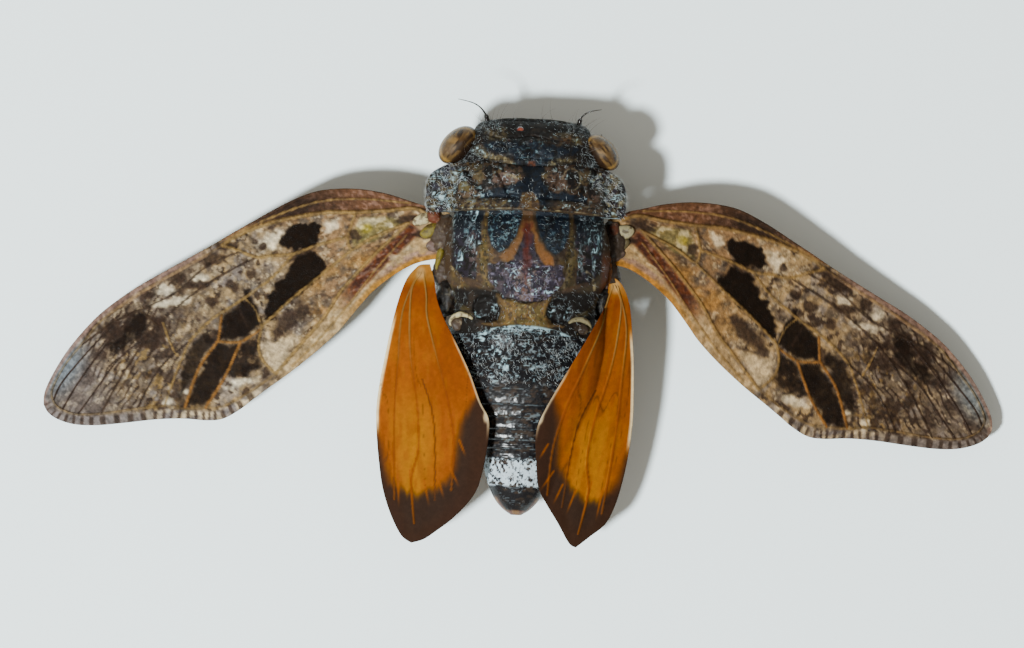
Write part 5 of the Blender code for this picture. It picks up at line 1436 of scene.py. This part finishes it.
class CICADA_OT_thorax(bpy.types.Operator):
    """Pronotum with its side lobes, and the mesothorax with its cross-shaped elevation"""
    bl_idname = "cicada.thorax"
    bl_label = "Thorax"

    def execute(self, context):
        pal = context.scene.cicada_body
        # waxy chitin with coarse grain, as on the head
        shell = painted_surface("chitin_thorax_mottled", 0.09, 0.03, coat=0.16)
        lobe = (((5.37, 5.15, 4.75, 3.9, 3.1, 2.92), (1.0, 1.25, 1.5, 1.38, 1.25, 1.0)), 0.46)
        ys = np.concatenate([[5.37, 5.36, 5.33], np.linspace(5.28, 3.0, 76), [2.95, 2.92]])
        rings, s = plate(PRONOTUM, ys, 2.3, nape, collar, sides=3.0, flange=lobe, around=620)
        lift_back(rings, s, pronotum_relief)
        plate_piece("pronotum_skin", rings, pal, pronotum_paint, shell, ("pronotum",))
        rings, s = plate(MESOTHORAX, np.linspace(3.05, -4.05, 190), 2.35, collar, waist, around=480)
        lift_back(rings, s, mesonotum_relief)
        plate_piece("mesothorax_skin", rings, pal, mesonotum_paint, shell, ("mesothorax",))
        return {"FINISHED"}


class CICADA_OT_roots(bpy.types.Operator):
    """Small plates that hinge the wings on the thorax, and the two pale flaps behind it"""
    bl_idname = "cicada.roots"
    bl_label = "Wing roots"

    # side (0 for both), place and radii on that side, turn and palette colour of each plate
    plates = (
        (0, (4.75, 1.35, 4.7), (0.8, 1.15, 0.58), 8, "brown"),
        (0, (4.62, -0.55, 4.55), (0.7, 1.15, 0.72), 12, "brown"),
        (0, (4.35, -2.05, 4.55), (0.75, 1.35, 0.95), 16, "pitch"),
        (-1, (6.0, 2.18, 4.84), (0.54, 0.36, 0.24), -28, "cream"),
        (-1, (5.3, 2.3, 4.9), (0.42, 0.44, 0.24), 0, "rust"),
        (-1, (5.42, 1.56, 4.86), (0.74, 0.36, 0.22), -22, "lemon"),
        (-1, (5.1, 1.3, 4.88), (0.5, 0.3, 0.22), -30, "olive"),
        (-1, (5.18, 0.72, 4.8), (0.6, 0.36, 0.18), -10, "mauve"),
        (-1, (4.94, 0.1, 4.9), (0.2, 0.72, 0.32), 10, "lemon"),
        (-1, (4.72, -0.6, 4.9), (0.22, 0.6, 0.3), 10, "rust"),
        (1, (4.84, 1.95, 4.94), (0.36, 0.58, 0.3), 0, "rust"),
        (1, (5.46, 1.9, 4.86), (0.56, 0.4, 0.22), 8, "cream"),
        (1, (4.92, 1.22, 4.92), (0.46, 0.34, 0.26), 14, "lemon"),
        (1, (5.28, 1.24, 4.8), (0.5, 0.36, 0.2), 12, "khaki"),
        (1, (4.96, 0.6, 4.8), (0.52, 0.4, 0.2), 12, "mauve"),
        (1, (4.64, -0.3, 4.96), (0.24, 0.85, 0.42), 4, "yolk"),
        (1, (4.54, -1.2, 4.88), (0.22, 0.9, 0.4), 6, "rust"),
        # brown lumps that stand in for the shade of the hollow behind the arched flap, and the white patch
        # behind that
        (-1, (3.6, -3.6, 6.46), (0.6, 0.4, 0.2), -20, "brown"),
        (1, (3.1, -3.58, 6.98), (0.52, 0.36, 0.16), -20, "brown"),
        (-1, (3.75, -3.98, 6.16), (0.34, 0.12, 0.14), 10, "cream"),
        (1, (2.75, -4.0, 7.05), (0.3, 0.1, 0.1), 10, "cream"),
    )
    # the arched flap on each side of the waist
    flap = ((2.95, -3.34), (3.25, -3.17), (3.6, -3.12), (3.92, -3.24), (4.14, -3.5), (4.16, -3.8))

    def execute(self, context):
        pal = context.scene.cicada_body
        # soft ribbed chitin of the wing hinges
        shell = painted_surface("chitin_wing_hinge", 0.08, 0.03, coat=0.3)
        across, along, up = ball(40, 64, 0.05)
        for side, word in SIDES:
            parts = []
            colours = []
            low = []
            for which, (cx, cy, cz), (rx, ry, rz), turn, colour in self.plates:
                if which == -side:
                    continue
                dx, dy = turned(rx * across, ry * along, -turn)
                wrinkle = 1 + (0.24 if which else 0.08) * noise(dx + 3 * cx, dy + 3 * cy, 0.5, 7)
                wrinkle = wrinkle + 0.06 * noise(dx + cx, dy - cy, 0.16, 9)
                at = [side * (cx + dx * wrinkle), cy + dy * wrinkle, cz + rz * up * wrinkle]
                v, f = close_rings(np.stack(at, axis=-1))
                parts.append((v, outward(v, f)))
                colours += [tuple(getattr(pal, colour))] * len(v)
                low.append(step((v[:, 2] - cz) / rz, 0.45, 0.15))
            # the right flap stands nearer the midline, and so higher on the round of the waist
            inward = 0.45 if side > 0 else 0.0
            line = smooth_line([(side * (x - inward), y, 10.33 + inward - x) for x, y in self.flap], 8)
            swell = np.sin(np.linspace(0.15, math.pi - 0.15, len(line)))
            v, f = limb(line, 0.05 + 0.11 * swell, around=12)
            parts.append((v, f))
            colours += [tuple(pal.cream)] * len(v)
            low.append(np.zeros(len(v)))
            verts, faces = merge_parts(parts)
            p = Paint(len(verts), 0)
            p.rgb = np.array(colours)
            x, y, _ = verts.T
            p.lay(pal.brown, 0.6 * blots(x, y, 0.18, 143, 0.1, 0.4))
            p.lay(pal.cream, 0.35 * squiggles(x, y, 0.16, 147, 0.35))
            # painted shade: brown over the lower sides of each plate
            p.lay(pal.brown, 0.6 * np.concatenate(low))
            # painted shade: the right side's plates are darkened, as the side away from the key light
            if side > 0:
                p.rgb = p.rgb * 0.75
            make_piece("wing_roots_" + word, verts, faces, shell, (), p.rgb, 0.35)
        return {"FINISHED"}


class CICADA_OT_abdomen(bpy.types.Operator):
    """Abdomen in one skin: glossy black back plates, the white wax band and the brown-edged tip"""
    bl_idname = "cicada.abdomen"
    bl_label = "Abdomen"

    def execute(self, context):
        pal = context.scene.cicada_body
        # smooth hard chitin, glossy where no wax lies
        shell = painted_surface("chitin_abdomen_gloss", 0.16, 0.02, variation=0.12, coat=0.5,
                                coat_rough=0.27, sparkle=False)
        tip = -13.9 - 0.5 * np.sin(np.linspace(0.05, np.pi / 2, 22))
        ys = np.concatenate([np.linspace(-3.7, -13.9, 300), tip])
        rings, s = plate(ABDOMEN, ys, ABDOMEN_POWER, waist, straight, around=300)
        lift_back(rings, s, abdomen_relief, above=0.0)
        plate_piece("abdomen_skin", rings, pal, abdomen_paint, shell,
                    ("abdomen_front", "abdomen_middle", "abdomen_band", "abdomen_tip"))
        return {"FINISHED"}


class CICADA_OT_forewings(bpy.types.Operator):
    """Forewings: mottled skin with raised golden veins"""
    bl_idname = "cicada.forewings"
    bl_label = "Forewings"

    def execute(self, context):
        pal = context.scene.cicada_wings
        # tough coloured membrane, dull and finely grained
        skin = painted_surface("wing_membrane_mottled", 0.12, 0.03, variation=0.22, coat=0.02, ior=1.08)
        for word, seed in (("left", 200), ("right", 260)):
            place, foot = fore_place(word)
            front = [foot[3]] + list(FORE_EDGE[:FORE_TIP + 1])
            rear = [foot[0]] + list(FORE_EDGE[:FORE_TIP - 1:-1])
            shape, u, v, edge, rise, cover, gold = wing_plan(front, rear, 390, 112, FORE_VEINS)
            rise = rise + 0.2 * step(edge, 0.22, 0.05) * step(v, 1.0, 1.8) * step(u, 11.5, 10.5)
            thick = 0.14 + 0.9 * bell(np.clip(u + 0.6, 0, 9), 1.1)
            level = fore_top(u, v)
            top = level + rise * step(edge, -0.02, 0.1) + 0.02 * cloud(u, v, 0.6, seed)
            bottom = level - thick * (0.45 + 0.55 * step(edge, 0.0, 0.3)) - 0.4 * rise * step(edge, 0.0, 0.2)
            rgb, rough = fore_paint(pal, u, v, cover, gold, edge, seed, word == "right")
            wing_piece("forewing", word, place(u, v), top, bottom, shape, skin, rgb, rough)
        return {"FINISHED"}


class CICADA_OT_hindwings(bpy.types.Operator):
    """Hindwings: amber skin with a brown border, folded against the abdomen"""
    bl_idname = "cicada.hindwings"
    bl_label = "Hindwings"

    def execute(self, context):
        pal = context.scene.cicada_wings
        # thin smooth amber membrane
        skin = painted_surface("wing_membrane_amber", 0.15, 0.012, variation=0.08, ior=1.08)
        for word, seed in (("left", 300), ("right", 360)):
            outline, tip = HIND_EDGES[word]
            place = hind_place(word)
            front = list(outline[:tip + 1])
            rear = [outline[0]] + list(outline[:tip - 1:-1])
            shape, u, v, edge, rise, cover, gold = wing_plan(front, rear, 230, 76, HIND_VEINS)
            pleat = 0.025 * np.cos(2 * np.pi * (v + 0.02 * u) / 1.3) * step(edge, 0.0, 0.8)
            level = hind_top(word, place)(u, v) + pleat - 0.05
            top = level + rise * step(edge, -0.02, 0.12)
            bottom = level - 0.16 - 0.3 * rise * step(edge, 0.0, 0.2)
            rgb, rough = hind_paint(pal, u, v, cover, gold, edge, seed, word)
            wing_piece("hindwing", word, place(u, v), top, bottom, shape, skin, rgb, rough)
        return {"FINISHED"}


LEGS = {
    "fore": ((1.35, 4.2, 1.85), (4.3, 4.45, 2.55), (4.05, 6.0, 0.92), (3.85, 7.15, 0.33), 0.46, 0.26),
    "mid": ((1.45, 1.1, 1.7), (4.95, 0.8, 2.6), (6.5, 0.9, 0.92), (7.9, 0.6, 0.33), 0.4, 0.24),
    "hind": ((1.5, -1.9, 1.7), (4.55, -2.65, 2.55), (5.45, -6.05, 0.92), (5.35, -7.75, 0.33), 0.42, 0.24),
}


class CICADA_OT_legs(bpy.types.Operator):
    """Six short legs, with spines on the thighs and shins and hooked feet"""
    bl_idname = "cicada.legs"
    bl_label = "Legs"

    def execute(self, context):
        # hard chitin of the legs
        shell = painted_surface("chitin_leg", 0.08, 0.02, coat=0.3)
        for leg, (hip, knee, ankle, toe, r_thigh, r_shin) in LEGS.items():
            for side, word in SIDES:
                pts = [np.array((side * p[0], p[1], p[2])) for p in (hip, knee, ankle, toe)]
                self.one_leg(leg, word, side, pts, r_thigh, r_shin, shell)
        return {"FINISHED"}

    def one_leg(self, leg, word, side, pts, r_thigh, r_shin, shell):
        hip, knee, ankle, toe = pts
        parts = []
        thigh = [hip + (0, 0, 0.5), hip, between(hip, knee, 0.25), between(hip, knee, 0.6), knee]
        path, r = blended(thigh, [r_thigh * k for k in (0.9, 1.15, 1.0, 1.1, 0.62)], 7)
        parts.append(limb(path, r, around=18))
        path, r = blended([knee, between(knee, ankle, 0.2), between(knee, ankle, 0.7), ankle],
                          [r_shin * k for k in (1.0, 1.15, 0.95, 1.05)], 7)
        parts.append(limb(path, r, around=16))
        foot0 = np.array((ankle[0], ankle[1], 0.3))
        foot1 = np.array((toe[0], toe[1], 0.26))
        sole = [ankle, between(foot0, foot1, 0.08), between(foot0, foot1, 0.45),
                between(foot0, foot1, 0.55), foot1]
        path, r = blended(sole, [0.22, 0.27, 0.2, 0.22, 0.17], 6)
        parts.append(limb(path, r, around=14, floor=0.0))
        ahead = (foot1 - foot0) / np.linalg.norm(foot1 - foot0)
        across = np.array((-ahead[1], ahead[0], 0.0))
        for s in (-1, 1):
            start = foot1 + across * s * 0.06
            mid = start + ahead * 0.22 + across * s * 0.1 + (0, 0, 0.02)
            tip = start + ahead * 0.36 + across * s * 0.1
            tip[2] = 0.03
            line = smooth_line([start, mid, tip], 4)
            parts.append(limb(line, np.linspace(0.06, 0.012, len(line)), around=8))
        down = np.array((0, 0, -1.0))
        if leg == "fore":
            for t, length in ((0.45, 0.55), (0.68, 0.42), (0.84, 0.3)):
                base = between(hip, knee, t) + down * r_thigh * 0.7
                parts.append(spine(base, base + down * length + (knee - hip) * 0.05, 0.13))
        else:
            shin = ankle - knee
            for k in range(5):
                base = between(knee, ankle, 0.35 + 0.13 * k)
                away = np.array((side * 0.6, 0.5 if k % 2 else -0.5, -0.1))
                tip = base + away * (r_shin + 0.3) + shin * 0.06
                parts.append(spine(base + away * r_shin * 0.6, tip, 0.05))
        verts, faces = merge_parts(parts)
        x, y, z = verts.T
        p = Paint(len(verts), srgb("#291b11"))
        p.lay(srgb("#594122"), 0.75 * blots(x + y, z, 0.6, 121, -0.1, 0.5))
        p.lay(srgb("#110c08"), 0.8 * blots(x - y, z, 0.5, 125, 0.15, 0.5))
        nodes = ["%s_%s_%s" % (leg, piece, word) for piece in ("femur", "tibia", "tarsus")]
        make_piece("%s_leg_%s" % (leg, word), verts, faces, shell, nodes, p.rgb, 0.36)


class CICADA_OT_underside(bpy.types.Operator):
    """Beak, and the two sound plates under the belly"""
    bl_idname = "cicada.underside"
    bl_label = "Beak and belly plates"

    # the beak's middle line, y and z
    beak = ((6.75, 2.5), (6.55, 1.98), (6.0, 1.72), (5.2, 1.45), (3.8, 1.3), (2.0, 1.25), (0.2, 1.25),
            (-0.9, 1.25))
    # a belly plate's y, inner edge and outer edge
    plate = ((-4.15, 0.75, 2.95), (-4.3, 0.6, 3.05), (-4.6, 0.45, 3.15), (-5.2, 0.35, 3.1),
             (-5.9, 0.45, 2.85), (-6.5, 0.8, 2.3), (-6.72, 1.15, 1.9), (-6.76, 1.4, 1.6))

    def execute(self, context):
        # plain chitin of the beak and belly
        shell = painted_surface("chitin_underside", 0.1, 0.03, coat=0.25)
        line = [(0, y, z) for y, z in self.beak]
        path, r = blended(line, [0.5, 0.42, 0.38, 0.32, 0.28, 0.24, 0.22, 0.1], 6)
        verts, faces = limb(path, r, around=18)
        p = Paint(len(verts), srgb("#332416"))
        x, y, _ = verts.T
        p.lay(srgb("#0e0a07"), 0.9 * step(y, 1.2, -0.2))
        p.lay(srgb("#150e09"), 0.8 * step(np.abs(x), 0.05, 0.01))
        make_piece("beak", verts, faces, shell, ("rostrum",), p.rgb, 0.35)
        ys = np.linspace(-4.15, -6.76, 40)
        inner, outer = (column[:, None] for column in read_rows(self.plate, ys, 1, 2))
        a = 2 * np.pi * np.arange(48)[None, :] / 48
        for side, word in SIDES:
            x = (inner + outer) / 2 + (outer - inner) / 2 * np.sign(np.cos(a)) * np.abs(np.cos(a)) ** 0.7
            taper = np.clip(np.minimum(ys + 6.8, -4.1 - ys) / 0.25, 0.15, 1)[:, None]
            z = 1.36 + 0.055 * x * x + 0.17 * taper * np.sign(np.sin(a)) * np.abs(np.sin(a)) ** 0.7
            y = ys[:, None] + 0 * a
            verts, faces = close_rings(np.stack([side * x, y, z], axis=-1))
            x, y, _ = verts.T
            p = Paint(len(verts), srgb("#3e2e1c"))
            p.lay(srgb("#5f4b2a"), 0.7 * blots(x, y, 0.7, 131, -0.2, 0.5))
            p.lay(srgb("#150f0a"), 0.8 * step(y, -4.8, -4.3))
            node = "operculum_" + word
            make_piece("belly_plate_" + word, verts, outward(verts, faces), shell, (node,), p.rgb, 0.4)
        return {"FINISHED"}


# coat
HAIR_INPUTS = (("Geometry", "Geometry", None), ("Density", "Float", 1e6), ("Length", "Float", 3e-4),
               ("Width", "Float", 3e-5), ("Stand", "Float", 0.5), ("Spread", "Float", 0.8),
               ("Curl", "Float", 0.4),
               ("Lie", "Vector", (0, -1, 0)), ("Seed", "Int", None), ("Material", "Material", None))


def hair_tree():
    """Bristles over a skin: each leans with the lie and keeps its root's place on the map."""
    tree = bpy.data.node_groups.new("bristles", "GeometryNodeTree")
    tree.is_modifier = True
    for label, kind, default in HAIR_INPUTS:
        socket = tree.interface.new_socket(label, in_out="INPUT", socket_type="NodeSocket" + kind)
        if default is not None:
            socket.default_value = default
    tree.interface.new_socket("Geometry", in_out="OUTPUT", socket_type="NodeSocketGeometry")

    def made(kind, settings=None, **links):
        return add_node(tree, kind, settings, **links).outputs

    given = made("NodeGroupInput")
    fuzz = made("GeometryNodeInputNamedAttribute", {"data_type": "FLOAT"}, name="fuzz")["Attribute"]
    density = math_node(tree, "MULTIPLY", given["Density"], fuzz)
    roots = made("GeometryNodeDistributePointsOnFaces", mesh=given["Geometry"], density=density,
                 seed=given["Seed"])
    # one bristle, bent toward its tip and thinning to it
    middle = made("ShaderNodeCombineXYZ", z=0.6)[0]
    tip = made("ShaderNodeCombineXYZ", x=given["Curl"], z=1.0)[0]
    bend = made("GeometryNodeCurveQuadraticBezier", resolution=2, start=(0, 0, -0.06), middle=middle,
                end=tip)[0]
    share = made("GeometryNodeSplineParameter")["Factor"]
    thin = made("ShaderNodeMapRange", value=share, to_min=1.0, to_max=0.12)[0]
    ratio = math_node(tree, "DIVIDE", given["Width"], given["Length"])
    half = math_node(tree, "MULTIPLY", math_node(tree, "MULTIPLY", ratio, thin), 0.5)
    ring = made("GeometryNodeCurvePrimitiveCircle", resolution=3, radius=1.0)["Curve"]
    sized = made("GeometryNodeSetCurveRadius", curve=bend, radius=half)[0]
    tube = add_node(tree, "GeometryNodeCurveToMesh", curve=sized, profile_curve=ring, fill_caps=True)
    if "Scale" in tube.inputs:
        tree.links.new(half, tube.inputs["Scale"])
    # the bristle's own place on the map, a small step away from its root's
    place = made("ShaderNodeSeparateXYZ", vector=made("GeometryNodeInputPosition")[0])
    patch_uv = made("ShaderNodeCombineXYZ", x=place["Z"], y=place["X"])[0]
    small = vector_node(tree, "SCALE", patch_uv, 0.003)
    marked = made("GeometryNodeStoreNamedAttribute", {"data_type": "FLOAT_VECTOR", "domain": "POINT"},
                  geometry=tube.outputs[0], name="tuft_place", value=small)[0]
    # direction: outward, plus the lie, plus a random swing
    swing = made("FunctionNodeRandomValue", {"data_type": "FLOAT_VECTOR"}, i0=(-1, -1, -1), i1=(1, 1, 1),
                 seed=given["Seed"])[0]
    up = vector_node(tree, "SCALE", roots["Normal"], given["Stand"])
    lean = vector_node(tree, "ADD", up, given["Lie"])
    aim = vector_node(tree, "ADD", lean, vector_node(tree, "SCALE", swing, given["Spread"]))
    # never into the skin
    into = vector_node(tree, "DOT_PRODUCT", aim, roots["Normal"])
    lack = made("ShaderNodeMapRange", value=into, from_min=-3.0, from_max=0.25, to_min=3.25,
                to_max=0.0)["Result"]
    safe = vector_node(tree, "ADD", aim, vector_node(tree, "SCALE", roots["Normal"], lack))
    turn = made("FunctionNodeAlignRotationToVector", {"axis": "Z"}, vector=safe)[0]
    scatter = made("FunctionNodeRandomValue", {"data_type": "FLOAT"}, i2=0.55, i3=1.15, seed=given["Seed"])[1]
    length = math_node(tree, "MULTIPLY", scatter, given["Length"])
    grown = made("GeometryNodeInstanceOnPoints", points=roots["Points"], instance=marked, rotation=turn,
                 scale=length)[0]
    real = made("GeometryNodeRealizeInstances", geometry=grown)[0]
    spots = [made("GeometryNodeInputNamedAttribute", {"data_type": "FLOAT_VECTOR"}, name=name)["Attribute"]
             for name in ("skin_map", "tuft_place")]
    mapped = made("GeometryNodeStoreNamedAttribute", {"data_type": "FLOAT2", "domain": "CORNER"},
                  geometry=real,
                  name="OFBake", value=vector_node(tree, "ADD", *spots))[0]
    done = made("GeometryNodeSetMaterial", geometry=mapped, material=given["Material"])[0]
    out = add_node(tree, "NodeGroupOutput")
    tree.links.new(done, out.inputs[0])
    return tree


def grow_hair(name, skin_name, tree, material, slot, **values):
    """Runs the bristle tree on a skin and keeps the result as a plain mesh piece."""
    carrier = bpy.data.objects.new(name + "_carrier", bpy.data.objects[skin_name].data)
    bpy.context.scene.collection.objects.link(carrier)
    mod = carrier.modifiers.new("bristles", "NODES")
    mod.node_group = tree
    inputs = {item.name: item.identifier for item in tree.interface.items_tree
              if item.item_type == "SOCKET" and item.in_out == "INPUT"}
    for key, value in values.items():
        mod[inputs[key]] = value
    mod[inputs["Material"]] = material
    bpy.context.view_layer.update()
    mesh = bpy.data.meshes.new_from_object(carrier.evaluated_get(bpy.context.evaluated_depsgraph_get()))
    bpy.data.objects.remove(carrier)
    mesh.name = name
    for spare in ("skin_map", "tuft_place", "fuzz"):
        if spare in mesh.attributes:
            mesh.attributes.remove(mesh.attributes[spare])
    add_object(name, mesh)


def hair_surface(name, low_hex, high_hex, rough):
    """Fine hair, paler and darker from clump to clump, with a soft highlight."""
    mat = bpy.data.materials.new(name)
    mat.use_nodes = True
    tree = mat.node_tree
    skin = tree.nodes["Principled BSDF"]
    where = add_node(tree, "ShaderNodeTexCoord").outputs["Object"]
    clump = add_node(tree, "ShaderNodeTexNoise", scale=1 / (0.3 * MM), detail=2.0, vector=where)
    share = add_node(tree, "ShaderNodeMapRange", value=clump.outputs["Fac"], from_min=0.35, from_max=0.65)
    tone = add_node(tree, "ShaderNodeMix", {"data_type": "RGBA"}, factor=share.outputs["Result"],
                    i6=(*linear(srgb(low_hex)), 1.0), i7=(*linear(srgb(high_hex)), 1.0))
    tree.links.new(tone.outputs[2], skin.inputs["Base Color"])
    skin.inputs["Roughness"].default_value = rough
    skin.inputs["Sheen Weight"].default_value = 0.3
    return mat


class CICADA_OT_coat(bpy.types.Operator):
    """Short silvery hairs over head, thorax and abdomen, and long dark bristles round the face"""
    bl_idname = "cicada.coat"
    bl_label = "Coat"

    def execute(self, context):
        coat = context.scene.cicada_coat
        tree = hair_tree()
        # fine chitin hairs: silvery, near white and dark brown
        silver = hair_surface("setae_silver", "#565f61", "#9aa6a8", 0.5)
        white = hair_surface("setae_white", "#879193", "#d3dbda", 0.5)
        dark = hair_surface("setae_dark", "#1a130e", "#33271d", 0.4)
        per_mm2 = 1e6
        short = {"Length": coat.short_length * MM, "Width": coat.short_width * MM, "Stand": 0.55,
                 "Spread": 0.85,
                 "Curl": 0.5, "Lie": (0.0, -0.8, 0.0)}
        for k, (skin, slot, share, tone) in enumerate((("head_skin", "head", 0.8, silver),
                                                       ("pronotum_skin", "pronotum", 1.0, white),
                                                       ("mesothorax_skin", "mesothorax", 0.7, silver),
                                                       ("abdomen_skin", "abdomen_front", 0.8, white))):
            grow_hair(skin.replace("skin", "down"), skin, tree, tone, slot,
                      Density=coat.short_density * share * per_mm2, Seed=11 + k, **short)
        grow_hair("head_bristles", "head_skin", tree, dark, "head", Density=5.0 * per_mm2,
                  Length=coat.long_length * MM, Width=coat.long_width * MM, Stand=1.0, Spread=0.6, Curl=0.3,
                  Lie=(0.0, 0.15, 0.1), Seed=31)
        grow_hair("tail_bristles", "abdomen_skin", tree, silver, "abdomen_tip", Density=0.5 * per_mm2,
                  Length=0.55 * MM, Width=coat.long_width * MM, Stand=0.8, Spread=0.5, Curl=0.3,
                  Lie=(0.0, -0.8, 0.0), Seed=35)
        return {"FINISHED"}


class CICADA_OT_stage(bpy.types.Operator):
    """Pale floor, soft lights and the camera straight above"""
    bl_idname = "cicada.stage"
    bl_label = "Stage"

    # metres
    floor_half = 3
    key_size = 0.055
    key_place = (-0.175, -0.13, 0.42)
    focus_height = 0.005

    def execute(self, context):
        look = context.scene.cicada_stage
        mesh = bpy.data.meshes.new("floor")
        half = self.floor_half
        corners = [(-half, -half, 0), (half, -half, 0), (half, half, 0), (-half, half, 0)]
        mesh.from_pydata(corners, [], [(0, 1, 2, 3)])
        # a pale ceramic tile with a dull glaze
        mat = bpy.data.materials.new("glazed_tile_pale")
        mat.use_nodes = True
        tree = mat.node_tree
        tile = tree.nodes["Principled BSDF"]
        tile.inputs["Base Color"].default_value = (*linear(look.floor_colour), 1.0)
        tile.inputs["Roughness"].default_value = 0.55
        mesh.materials.append(mat)
        ground = bpy.data.objects.new("floor", mesh)
        context.scene.collection.objects.link(ground)
        self.lights(context, look)
        self.camera(context, look)
        return {"FINISHED"}

    def lights(self, context, look):
        world = bpy.data.worlds.new("surround")
        world.use_nodes = True
        world.node_tree.nodes["Background"].inputs[0].default_value = (*linear(srgb("#fff3e4")), 1.0)
        world.node_tree.nodes["Background"].inputs[1].default_value = look.sky
        context.scene.world = world
        middle = ORIGIN + Vector((0, -3 * MM, 4 * MM))
        # the key stands to the lower left of the photograph, high over the insect
        lamp = bpy.data.lights.new("key", "AREA")
        lamp.shape = "DISK"
        lamp.size = self.key_size
        lamp.energy = look.key_power
        lamp.color = tuple(linear(srgb("#f6fdff")))
        obj = bpy.data.objects.new("key", lamp)
        context.scene.collection.objects.link(obj)
        obj.location = middle + Vector(self.key_place)
        obj.rotation_euler = (middle - obj.location).to_track_quat("-Z", "Y").to_euler()

    def camera(self, context, look):
        data = bpy.data.cameras.new("camera")
        wide = PHOTO_SIZE[0] * PHOTO_SCALE * MM
        data.sensor_width = 36.0
        data.lens = data.sensor_width * look.camera_distance / wide
        data.clip_start = 0.01
        data.clip_end = 10.0
        obj = bpy.data.objects.new("camera", data)
        context.scene.collection.objects.link(obj)
        roll = math.radians(PHOTO_ROLL)
        du = (PHOTO_SIZE[0] / 2 - THORAX_PIXEL[0]) * PHOTO_SCALE
        dv = (THORAX_PIXEL[1] - PHOTO_SIZE[1] / 2) * PHOTO_SCALE
        x = du * math.cos(roll) - dv * math.sin(roll)
        y = du * math.sin(roll) + dv * math.cos(roll)
        obj.location = ORIGIN + Vector((x * MM, y * MM, self.focus_height + look.camera_distance))
        obj.rotation_euler = (0.0, 0.0, roll)
        context.scene.camera = obj


class CICADA_PT_panel(bpy.types.Panel):
    """Lists the cicada's pieces"""
    bl_idname = "CICADA_PT_panel"
    bl_label = "Cicada"
    bl_space_type = "VIEW_3D"
    bl_region_type = "UI"
    bl_category = "Cicada"

    def draw(self, context):
        for operator in OPERATORS:
            self.layout.operator(operator.bl_idname)


GROUPS = {"cicada_body": BodyColours, "cicada_wings": WingColours, "cicada_coat": CoatSettings,
          "cicada_stage": StageSettings}
OPERATORS = (CICADA_OT_head, CICADA_OT_eyes, CICADA_OT_feelers, CICADA_OT_thorax, CICADA_OT_roots,
             CICADA_OT_abdomen,
             CICADA_OT_forewings, CICADA_OT_hindwings, CICADA_OT_legs, CICADA_OT_underside, CICADA_OT_coat,
             CICADA_OT_stage)


def register():
    for cls in (*GROUPS.values(), *OPERATORS, CICADA_PT_panel):
        bpy.utils.register_class(cls)
    for name, cls in GROUPS.items():
        setattr(bpy.types.Scene, name, bpy.props.PointerProperty(type=cls))


def unregister():
    for name in GROUPS:
        delattr(bpy.types.Scene, name)
    for cls in reversed((*GROUPS.values(), *OPERATORS, CICADA_PT_panel)):
        bpy.utils.unregister_class(cls)


def main():
    register()
    for operator in OPERATORS:
        group, call = operator.bl_idname.split(".")
        getattr(getattr(bpy.ops, group), call)()


if __name__ == "__main__":
    main()
